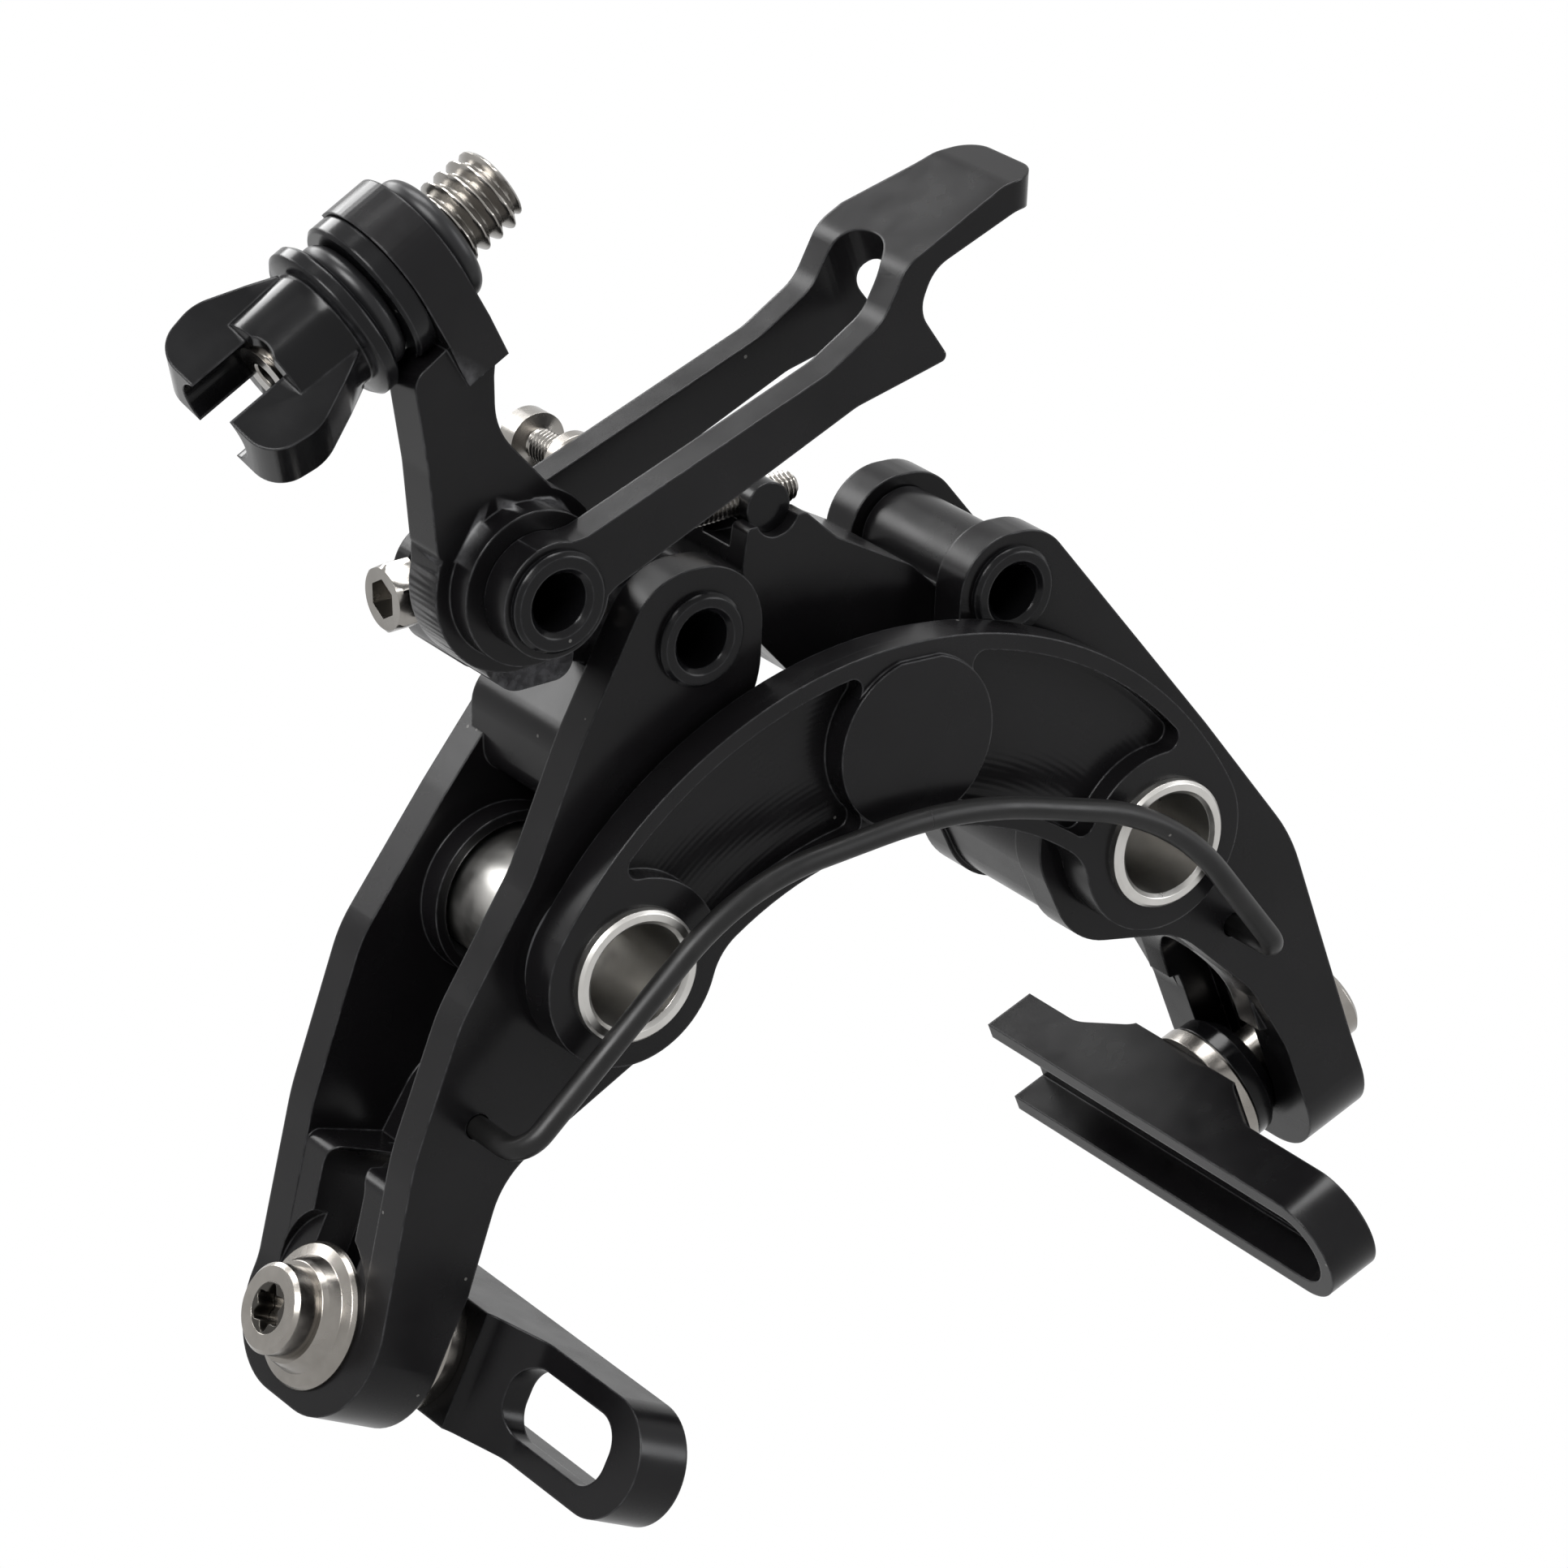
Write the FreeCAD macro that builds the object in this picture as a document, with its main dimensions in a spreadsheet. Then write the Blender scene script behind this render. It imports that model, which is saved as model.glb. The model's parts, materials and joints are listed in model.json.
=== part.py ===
import FreeCAD, Part
import math
import os
import Sketcher
from FreeCAD import Placement, Rotation, Vector

# Direct-mount road caliper brake with a dual-pivot arm pair, a cranked toggle linkage,
# a quick-release lever and a barrel adjuster.
# The origin lies on the mounting face, midway between the two frame bolts.
# X runs across the wheel, Y points from the brake to the frame, Z points up.

os.makedirs("parts", exist_ok=True)
doc = FreeCAD.newDocument("CaliperBrake")
doc.addObject("Spreadsheet::Sheet", "Sizes")
sheet = doc.Sizes


class Size:
    """A length or angle together with the cell formula that gives it."""

    def __init__(self, value, text):
        self.value = float(value)
        self.text = text

    def __float__(self):
        return self.value

    def __add__(self, other):
        return Size(self.value + float(other), "(%s + %s)" % (self.text, formula(other)))

    def __radd__(self, other):
        return self + other

    def __sub__(self, other):
        return Size(self.value - float(other), "(%s - %s)" % (self.text, formula(other)))

    def __rsub__(self, other):
        return Size(float(other) - self.value, "(%s - %s)" % (formula(other), self.text))

    def __mul__(self, other):
        return Size(self.value * float(other), "(%s * %s)" % (self.text, formula(other)))

    def __rmul__(self, other):
        return self * other

    def __truediv__(self, other):
        return Size(self.value / float(other), "(%s / %s)" % (self.text, formula(other)))

    def __neg__(self):
        return Size(-self.value, "(-1 * %s)" % self.text)


def formula(number):
    """The cell formula of a size, or the plain number."""
    return number.text if isinstance(number, Size) else "%.6f" % number


row_count = 0


def size(alias, value, note):
    """Writes one driving dimension into the sheet and returns it."""
    global row_count
    row_count += 1
    sheet.set("A%d" % row_count, alias)
    sheet.set("B%d" % row_count, str(value))
    sheet.set("C%d" % row_count, note)
    sheet.setAlias("B%d" % row_count, alias)
    return Size(value, "Sizes.%s" % alias)


# Fits and clearances

running = size("running_fit", 0.05, "radial clearance of a turning fit")
side_play = size("side_play", 0.1, "clearance beside a turning piece")
free_gap = size("free_gap", 0.3, "gap between pieces that pass each other")

# Frame interface and pivots

bolt_spacing = size("bolt_spacing", 62.0, "distance of the two frame bolts")
sleeve_length = size("sleeve_length", 30.0, "pivot sleeve, ring face to mounting face")
sleeve_radius = size("sleeve_radius", 6.6, "outside of the pivot sleeve")
sleeve_bore = size("sleeve_bore", 5.2, "bore for the bolt head")
bolt_hole = size("bolt_hole", 3.25, "clearance hole of the frame bolt, radius")
bolt_seat = size("bolt_seat", 8.0, "length of the narrow hole behind the bolt head")
collar_radius = size("collar_radius", 8.6, "rear collar of the sleeve")
collar_length = size("collar_length", 1.0, "thickness of the rear collar")

# Bridge plate

plate_setback = size("plate_setback", 1.0, "sleeve ring stands this far out of the plate")
plate_depth = size("plate_depth", 4.0, "bridge plate thickness")
lobe_radius = size("lobe_radius", 9.3, "plate lobe around each pivot")
crown_drop = size("crown_drop", 18.3, "centre of the crown arc below the pivots")
under_top = size("under_top", 7.5, "highest point of the lower edge")
under_radius = size("under_radius", 34.0, "radius of the lower edge")
under_blend = size("under_blend", 6.0, "blend between lower edge and lobe")
rim_width = size("rim_width", 1.7, "rim around the pockets")
pocket_depth = size("pocket_depth", 2.3, "depth of the two pockets")
pocket_corner = size("pocket_corner", 1.3, "corner radius of the pockets")
lobe_wall = size("lobe_wall", 1.6, "wall between pocket and lobe edge of the sleeve seat")
badge_radius = size("badge_radius", 8.7, "plain round badge land")
badge_height = size("badge_height", 16.9, "centre of the badge land above the pivots")
badge_flat = size("badge_flat", 25.3, "flat top edge of the badge land")
badge_rise = size("badge_rise", 0.5, "badge land stands above the rim")

# Arms

arm_plate = size("arm_plate", 4.0, "thickness of each arm cheek")
channel_width = size("channel_width", 14.0, "space between the cheeks")
flange_gap = size("flange_gap", 1.0, "gap beside a cheek for the bush flange")
bush_wall = size("bush_wall", 0.9, "wall of the bush")
bush_flange = size("bush_flange", 8.7, "radius of the bush flange")
boss_wall = size("boss_wall", 1.1, "boss around the bush, over the wall")
boss_height = size("boss_height", 2.6, "boss stands out of the rear cheek")
cheek_lobe = size("cheek_lobe", 10.6, "cheek radius around the pivot")
foot_tilt = size("foot_tilt", 24.0, "pad bolt axis below the horizontal, degrees")
foot_depth = size("foot_depth", 7.6, "foot thickness along the pad bolt")
foot_round = size("foot_round", 8.6, "rounded end of the foot")
slot_width = size("slot_width", 7.4, "width of the pad bolt slot")
spot_gap = size("spot_gap", 0.4, "spot face around the bell washer")
pad_travel = size("pad_travel", 2.6, "pad bolt moves up in its slot")
slot_up = size("slot_up", 17.0, "slot end above the pad bolt")
slot_down = size("slot_down", 1.4, "slot end below the pad bolt, beyond the shaft")
recess_width = size("recess_width", 11.6, "oval recess in the inner side of the foot")
recess_depth = size("recess_depth", 3.6, "depth of the oval recess")

# Linkage

clevis_x = size("clevis_x", -21.6, "crank pivot on the left arm")
clevis_z = size("clevis_z", 29.7, "crank pivot on the left arm")
clevis_lobe = size("clevis_lobe", 7.0, "left arm lobe around the crank pivot")
saddle_x = size("saddle_x", 14.2, "saddle pivot on the right arm")
saddle_z = size("saddle_z", 27.6, "saddle pivot on the right arm")
ear_radius = size("ear_radius", 5.9, "right arm ear around the saddle pivot")
lever_x = size("lever_x", -43.8, "lever pivot")
lever_z = size("lever_z", 40.9, "lever pivot")
hinge_x = size("hinge_x", -42.2, "screw swivel")
hinge_z = size("hinge_z", 36.45, "screw swivel")
trunnion_x = size("trunnion_x", -10.3, "trunnion")
trunnion_z = size("trunnion_z", 38.6, "trunnion")
link_y = size("link_y", -15.0, "middle plane of the adjusting screw")
pin_radius = size("pin_radius", 3.8, "hollow linkage pins")
pin_bore = size("pin_bore", 2.8, "bore of the hollow pins")
pin_flange = size("pin_flange", 4.6, "flange of the hollow pins")
flange_depth = size("flange_depth", 0.9, "flange thickness of the hollow pins")
lug_radius = size("lug_radius", 6.0, "crank lug around the crank pivot")
crank_depth = size("crank_depth", 8.0, "crank link along Y")
swivel_radius = size("swivel_radius", 3.0, "screw swivel barrel")
swivel_wall = size("swivel_wall", 1.55, "fork wall around the screw swivel")
head_reach = size("head_reach", 0.35, "gap between the fork and the screw head")
screw_radius = size("screw_radius", 1.5, "adjusting screw thread, major radius")
screw_hole = size("screw_hole", 0.35, "clearance of the screw in the open pivot")
trunnion_radius = size("trunnion_radius", 2.4, "trunnion barrel")
trunnion_length = size("trunnion_length", 6.4, "trunnion along Y")
hex_flats = size("hex_flats", 6.0, "adjusting screw head across flats")
eye_radius = size("eye_radius", 4.7, "saddle link eye")

# Stop arm and hook

stop_front = size("stop_front", -27.5, "front face of the stop arm")
stop_depth = size("stop_depth", 4.5, "stop arm thickness at its base")
stop_base = size("stop_base", 8.8, "round base of the stop arm")
stop_boss = size("stop_boss", 7.35, "boss against the lever eye")
barrel_tilt = size("barrel_tilt", 31.5, "barrel adjuster axis above X, degrees")
tip_x = size("tip_x", -43.3, "tip of the barrel")
tip_z = size("tip_z", 75.7, "tip of the barrel")
barrel_y = size("barrel_y", -21.0, "barrel axis along Y")
barrel_radius = size("barrel_radius", 4.0, "barrel adjuster thread, major radius")
barrel_length = size("barrel_length", 27.0, "barrel adjuster length")
cable_bore = size("cable_bore", 1.3, "cable hole through the barrel")
hook_start = size("hook_start", 9.1, "hook behind the barrel tip")
hook_depth = size("hook_depth", 4.6, "hook thickness along the barrel")
hook_wall = size("hook_wall", 3.3, "hook wall around the barrel")
ring_section = size("ring_section", 1.15, "section radius of the rubber rings")

# Quick-release lever

lever_front = size("lever_front", -33.5, "front face of the lever")
lever_width = size("lever_width", 14.0, "lever across")
front_rail = size("front_rail", 3.3, "front rail of the lever")
rear_rail = size("rear_rail", 3.0, "rear rail of the lever")
lever_eye = size("lever_eye", 5.5, "lever eye around its pivot")
lever_angle = size("lever_angle", 21.8, "rail direction above X, degrees")

# Pad bolts and holders

head_radius = size("head_radius", 4.4, "pad bolt head")
head_height = size("head_height", 2.6, "pad bolt head above the bell washer")
bell_radius = size("bell_radius", 7.1, "bell washer")
bell_height = size("bell_height", 2.8, "bell washer height")
shaft_radius = size("shaft_radius", 3.0, "pad bolt shaft")
dish_height = size("dish_height", 3.4, "dished washer height")
ring_height = size("ring_height", 2.0, "ring washer height")
holder_height = size("holder_height", 12.0, "pad holder across")
holder_depth = size("holder_depth", 5.8, "pad holder flange depth")
holder_seat = size("holder_seat", 9.4, "flange depth at the pad bolt")
holder_wall = size("holder_wall", 1.8, "pad holder wall")
holder_front = size("holder_front", 32.0, "nose ahead of the pad bolt")
holder_back = size("holder_back", 22.0, "open end behind the pad bolt")

# Return spring

wire_radius = size("wire_radius", 1.15, "return spring wire")

doc.recompute()

# Layers from the front of the brake to the frame, all along Y

ring_y = -sleeve_length
plate_y = ring_y + plate_setback
plate_back = plate_y + plate_depth
arm_y = plate_back + flange_gap
channel_y = arm_y + arm_plate
rear_y = channel_y + channel_width
arm_back = rear_y + arm_plate
half = bolt_spacing / 2


# Helpers for drawing and building

bodies = []


def new_body(name):
    """One sub-part as a body with its own label."""
    body = doc.addObject("PartDesign::Body", name)
    body.Label = name
    bodies.append(body)
    return body


def origin_plane(body, role):
    """A base plane of the body."""
    for item in body.Origin.OriginFeatures:
        if item.Role == role:
            return item
    raise RuntimeError("no plane " + role)


def front_sketch(body, name, y):
    """A sketch seen from the front, X to the right and Z up, at the depth y."""
    sketch = body.newObject("Sketcher::SketchObject", name)
    sketch.AttachmentSupport = (origin_plane(body, "XZ_Plane"), "")
    sketch.MapMode = "FlatFace"
    sketch.setExpression(".AttachmentOffset.Base.z", formula(-1 * y if isinstance(y, Size) else -y))
    return sketch


def plane_sketch(body, name, place):
    """A sketch on any plane, given by its placement."""
    sketch = body.newObject("Sketcher::SketchObject", name)
    sketch.AttachmentSupport = (origin_plane(body, "XY_Plane"), "")
    sketch.MapMode = "FlatFace"
    sketch.AttachmentOffset = place
    return sketch


def vec(point):
    return Vector(float(point[0]), float(point[1]), 0)


def draw_line(sketch, start, end):
    sketch.addGeometry(Part.LineSegment(vec(start), vec(end)), False)


def draw_arc(sketch, start, middle, end):
    """An arc through three points, always stored anticlockwise."""
    a, b, c = vec(start), vec(middle), vec(end)
    if (b - a).cross(c - b).z < 0:
        a, c = c, a
    sketch.addGeometry(Part.Arc(a, b, c), False)


def draw_circle(sketch, centre, radius):
    """A full circle whose radius follows the sheet."""
    index = sketch.addGeometry(Part.Circle(vec(centre), Vector(0, 0, 1), float(radius)), False)
    bound = sketch.addConstraint(Sketcher.Constraint("Radius", index, float(radius)))
    if isinstance(radius, Size):
        sketch.setExpression("Constraints[%d]" % bound, radius.text)
    return index


def draw_outline(sketch, corners):
    """A closed outline from corners (x, z, radius); each radius rounds its corner."""
    count = len(corners)
    starts = []
    ends = []
    middles = []
    reaches = []
    for i in range(count):
        here = vec(corners[i])
        before = vec(corners[i - 1]) - here
        after = vec(corners[(i + 1) % count]) - here
        radius = float(corners[i][2]) if len(corners[i]) > 2 else 0.0
        before.normalize()
        after.normalize()
        turn = before.getAngle(after)
        if radius <= 0.0 or abs(math.pi - turn) < 1e-6:
            starts.append(here)
            ends.append(here)
            middles.append(None)
            reaches.append(0.0)
            continue
        reach = radius / math.tan(turn / 2)
        reaches.append(reach)
        bisector = before + after
        bisector.normalize()
        centre = here + bisector * (radius / math.sin(turn / 2))
        starts.append(here + before * reach)
        ends.append(here + after * reach)
        middles.append(centre - bisector * radius)
    for i in range(count):
        span = (vec(corners[(i + 1) % count]) - vec(corners[i])).Length
        if reaches[i] + reaches[(i + 1) % count] > span + 1e-6:
            raise RuntimeError("corner radii overlap in %s at corner %d, %.2f of %.2f" % (
                sketch.Label, i, reaches[i] + reaches[(i + 1) % count], span))
    for i in range(count):
        if middles[i] is not None:
            draw_arc(sketch, starts[i], middles[i], ends[i])
        following = starts[(i + 1) % count]
        if (following - ends[i]).Length > 1e-6:
            draw_line(sketch, ends[i], following)


def crossing(centre_a, radius_a, centre_b, radius_b, hint):
    """The crossing of two circles that lies nearer to the hint."""
    ax, az = float(centre_a[0]), float(centre_a[1])
    bx, bz = float(centre_b[0]), float(centre_b[1])
    ra, rb = float(radius_a), float(radius_b)
    dx, dz = bx - ax, bz - az
    gap = math.hypot(dx, dz)
    along = (ra * ra - rb * rb + gap * gap) / (2 * gap)
    side = math.sqrt(ra * ra - along * along)
    mx, mz = ax + dx * along / gap, az + dz * along / gap
    first = (mx - dz * side / gap, mz + dx * side / gap)
    second = (mx + dz * side / gap, mz - dx * side / gap)
    return min((first, second), key=lambda p: math.hypot(p[0] - hint[0], p[1] - hint[1]))


def toward(centre, point, radius):
    """The point at the radius from the centre, in the direction of the other point."""
    cx, cz = float(centre[0]), float(centre[1])
    dx, dz = float(point[0]) - cx, float(point[1]) - cz
    reach = math.hypot(dx, dz)
    return (cx + dx * float(radius) / reach, cz + dz * float(radius) / reach)


def draw_circle_loop(sketch, edges, corner, hints):
    """A region bounded by circles (centre, radius, inside) with rounded corners."""
    blends = []
    count = len(edges)
    for i in range(count):
        one, two = edges[i], edges[(i + 1) % count]
        reach_one = float(one[1]) - corner if one[2] else float(one[1]) + corner
        reach_two = float(two[1]) - corner if two[2] else float(two[1]) + corner
        middle = crossing(one[0], reach_one, two[0], reach_two, hints[i])
        blends.append((toward(one[0], middle, one[1]), middle, toward(two[0], middle, two[1])))
    for i in range(count):
        edge = edges[i]
        start = blends[i - 1][2]
        end = blends[i][0]
        centre = (float(edge[0][0]), float(edge[0][1]))
        halfway = ((start[0] + end[0]) / 2, (start[1] + end[1]) / 2)
        draw_arc(sketch, start, toward(centre, halfway, edge[1]), end)
        before, middle, after = blends[i]
        chord = ((before[0] + after[0]) / 2, (before[1] + after[1]) / 2)
        draw_arc(sketch, before, toward(middle, chord, corner), after)


def feature(body, kind, name, sketch, length, reverse, label):
    item = body.newObject("PartDesign::" + kind, name)
    item.Profile = sketch
    item.Reversed = reverse
    if isinstance(length, Size):
        item.Length = float(length)
        item.setExpression("Length", length.text)
    else:
        item.Length = float(length)
    return item


def pad(body, name, sketch, length):
    """Material from the sketch towards the frame."""
    return feature(body, "Pad", name, sketch, length, True, name)


def cut(body, name, sketch, length):
    """A pocket from the sketch towards the frame; it has to remove material."""
    doc.recompute()
    before = body.Shape.Volume
    item = feature(body, "Pocket", name, sketch, length, False, name)
    doc.recompute()
    if before - body.Shape.Volume < 0.01:
        raise RuntimeError("pocket removes nothing: " + body.Label + " " + name)
    return item


def raise_along(body, name, sketch, length):
    """Material from the sketch along its own normal."""
    return feature(body, "Pad", name, sketch, length, False, name)


def cut_along(body, name, sketch, length):
    """A pocket along the sketch normal; it has to remove material."""
    doc.recompute()
    before = body.Shape.Volume
    item = feature(body, "Pocket", name, sketch, length, True, name)
    doc.recompute()
    if before - body.Shape.Volume < 0.01:
        raise RuntimeError("pocket removes nothing: " + body.Label + " " + name)
    return item


def turned(name, profile, place):
    """A turned piece: profile points (distance along the axis, radius), axis along local X."""
    body = new_body(name)
    sketch = body.newObject("Sketcher::SketchObject", name + "_profile")
    sketch.AttachmentSupport = (origin_plane(body, "XY_Plane"), "")
    sketch.MapMode = "FlatFace"
    count = len(profile)
    for i in range(count):
        draw_line(sketch, profile[i], profile[(i + 1) % count])
    for i in range(count):
        sketch.addConstraint(Sketcher.Constraint("Coincident", i, 2, (i + 1) % count, 1))
    for i in range(count):
        for kind, number in (("DistanceX", profile[i][0]), ("DistanceY", profile[i][1])):
            bound = sketch.addConstraint(Sketcher.Constraint(kind, i, 1, float(number)))
            if isinstance(number, Size):
                sketch.setExpression("Constraints[%d]" % bound, number.text)
    spin = body.newObject("PartDesign::Revolution", name + "_turned")
    spin.Profile = sketch
    spin.ReferenceAxis = (sketch, ["H_Axis"])
    spin.Angle = 360
    body.Placement = place
    return body


def bind_base(body, x, y, z):
    """Places a body by sheet formulas."""
    for axis, number in (("x", x), ("y", y), ("z", z)):
        if isinstance(number, Size):
            body.setExpression(".Placement.Base." + axis, number.text)


def along_y(x, y, z):
    """Placement of a turned piece whose axis runs along +Y."""
    return Placement(Vector(float(x), float(y), float(z)), Rotation(Vector(0, 0, 1), 90))


def turned_y(name, profile, x, y, z):
    body = turned(name, profile, along_y(x, y, z))
    bind_base(body, x, y, z)
    return body


def tilted(x, y, z, degrees):
    """Local X points along +X raised by the angle, local Z across it, local Y along Y."""
    return Placement(Vector(float(x), float(y), float(z)), Rotation(Vector(0, 1, 0), -float(degrees)))


# Bridge plate: a crescent with a lobe at each pivot, two pockets and a plain badge land

bridge = new_body("bridge_plate")
crown_centre = (0.0, -crown_drop)
crown_radius = Size(math.hypot(float(half), float(crown_drop)) + float(lobe_radius),
                    "(sqrt(%s * %s + %s * %s) + %s)" % (half.text, half.text, crown_drop.text,
                                                      crown_drop.text, lobe_radius.text))
under_centre = (0.0, under_top - under_radius)
outline = front_sketch(bridge, "bridge_outline", plate_y)
crown = float(crown_radius)
for side in (-1, 1):
    pivot = (side * float(half), 0.0)
    outer_touch = toward(crown_centre, pivot, crown_radius)
    blend_centre = crossing(under_centre, float(under_radius) - float(under_blend), pivot,
                            float(lobe_radius) + float(under_blend), (side * 14.0, -6.0))
    lobe_touch = toward(pivot, blend_centre, lobe_radius)
    arc_touch = toward(under_centre, blend_centre, under_radius)
    below = toward(pivot, (pivot[0] + side * 0.3, -10.0), lobe_radius)
    draw_arc(outline, outer_touch, below, lobe_touch)
    chord = ((lobe_touch[0] + arc_touch[0]) / 2, (lobe_touch[1] + arc_touch[1]) / 2)
    draw_arc(outline, lobe_touch, toward(blend_centre, chord, under_blend), arc_touch)
    if side < 0:
        left_outer, left_under = outer_touch, arc_touch
draw_arc(outline, left_outer, (0.0, float(crown_centre[1]) + crown), outer_touch)
draw_arc(outline, left_under, (0.0, float(under_top)), arc_touch)
pad(bridge, "bridge_body", outline, plate_depth)

badge_centre = (0.0, badge_height)
for side in (-1, 1):
    pivot = (side * float(half), 0.0)
    pocket = front_sketch(bridge, "pocket_outline", plate_y)
    draw_circle_loop(pocket, [
        (crown_centre, crown - float(rim_width), True),
        (pivot, float(sleeve_radius) + float(lobe_wall) + 1.3, False),
        (under_centre, float(under_radius) + float(rim_width), False),
        (badge_centre, float(badge_radius), False)],
        float(pocket_corner),
        [(side * 28.0, 9.0), (side * 21.5, 5.5), (side * 8.0, 10.5), (side * 6.5, 24.0)])
    cut(bridge, "pocket", pocket, pocket_depth)

badge = front_sketch(bridge, "badge_outline", plate_y - badge_rise)
flat_half = math.sqrt(float(badge_radius) ** 2 - (float(badge_flat) - float(badge_height)) ** 2)
draw_arc(badge, (-flat_half, badge_flat), (0.0, badge_height - badge_radius), (flat_half, badge_flat))
draw_line(badge, (-flat_half, badge_flat), (flat_half, badge_flat))
pad(bridge, "badge_land", badge, badge_rise + pocket_depth / 2)

for side in (-1, 1):
    seat = front_sketch(bridge, "sleeve_seat", plate_y)
    draw_circle(seat, (side * half, 0.0), sleeve_radius)
    cut(bridge, "sleeve_seat_hole", seat, plate_depth)

# Pivot sleeves: ring at the front, collar against the frame, bolt seat inside

for name, side in (("left_sleeve", -1), ("right_sleeve", 1)):
    turned_y(name, [
        (0.0, sleeve_bore + 0.4),
        (0.4, sleeve_bore),
        (sleeve_length - bolt_seat, sleeve_bore),
        (sleeve_length - bolt_seat, bolt_hole),
        (sleeve_length, bolt_hole),
        (sleeve_length, collar_radius),
        (sleeve_length - collar_length, collar_radius),
        (sleeve_length - collar_length, sleeve_radius),
        (0.3, sleeve_radius),
        (0.0, sleeve_radius - 0.3)], side * half, ring_y, Size(0, "0"))


# Arms: two cheeks joined by a web, a lobe for the linkage at the top and a slotted foot


def foot_frame(x, z, inward):
    """Axes of a foot: along the pad bolt to the rim, and up along the slot."""
    angle = math.radians(float(foot_tilt))
    along = Vector(inward * math.cos(angle), 0, -math.sin(angle))
    up = Vector(inward * math.sin(angle), 0, math.cos(angle))
    return Vector(float(x), 0, float(z)), along, up


def foot_plane(centre, along, up, reach):
    """A sketch plane square to the pad bolt: sketch x is Y, sketch y climbs the slot."""
    y_axis = Vector(0, 1, 0)
    normal = y_axis.cross(up)
    turn = Rotation(y_axis, up, normal, "ZXY")
    return Placement(centre + along * reach, turn), normal


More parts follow.
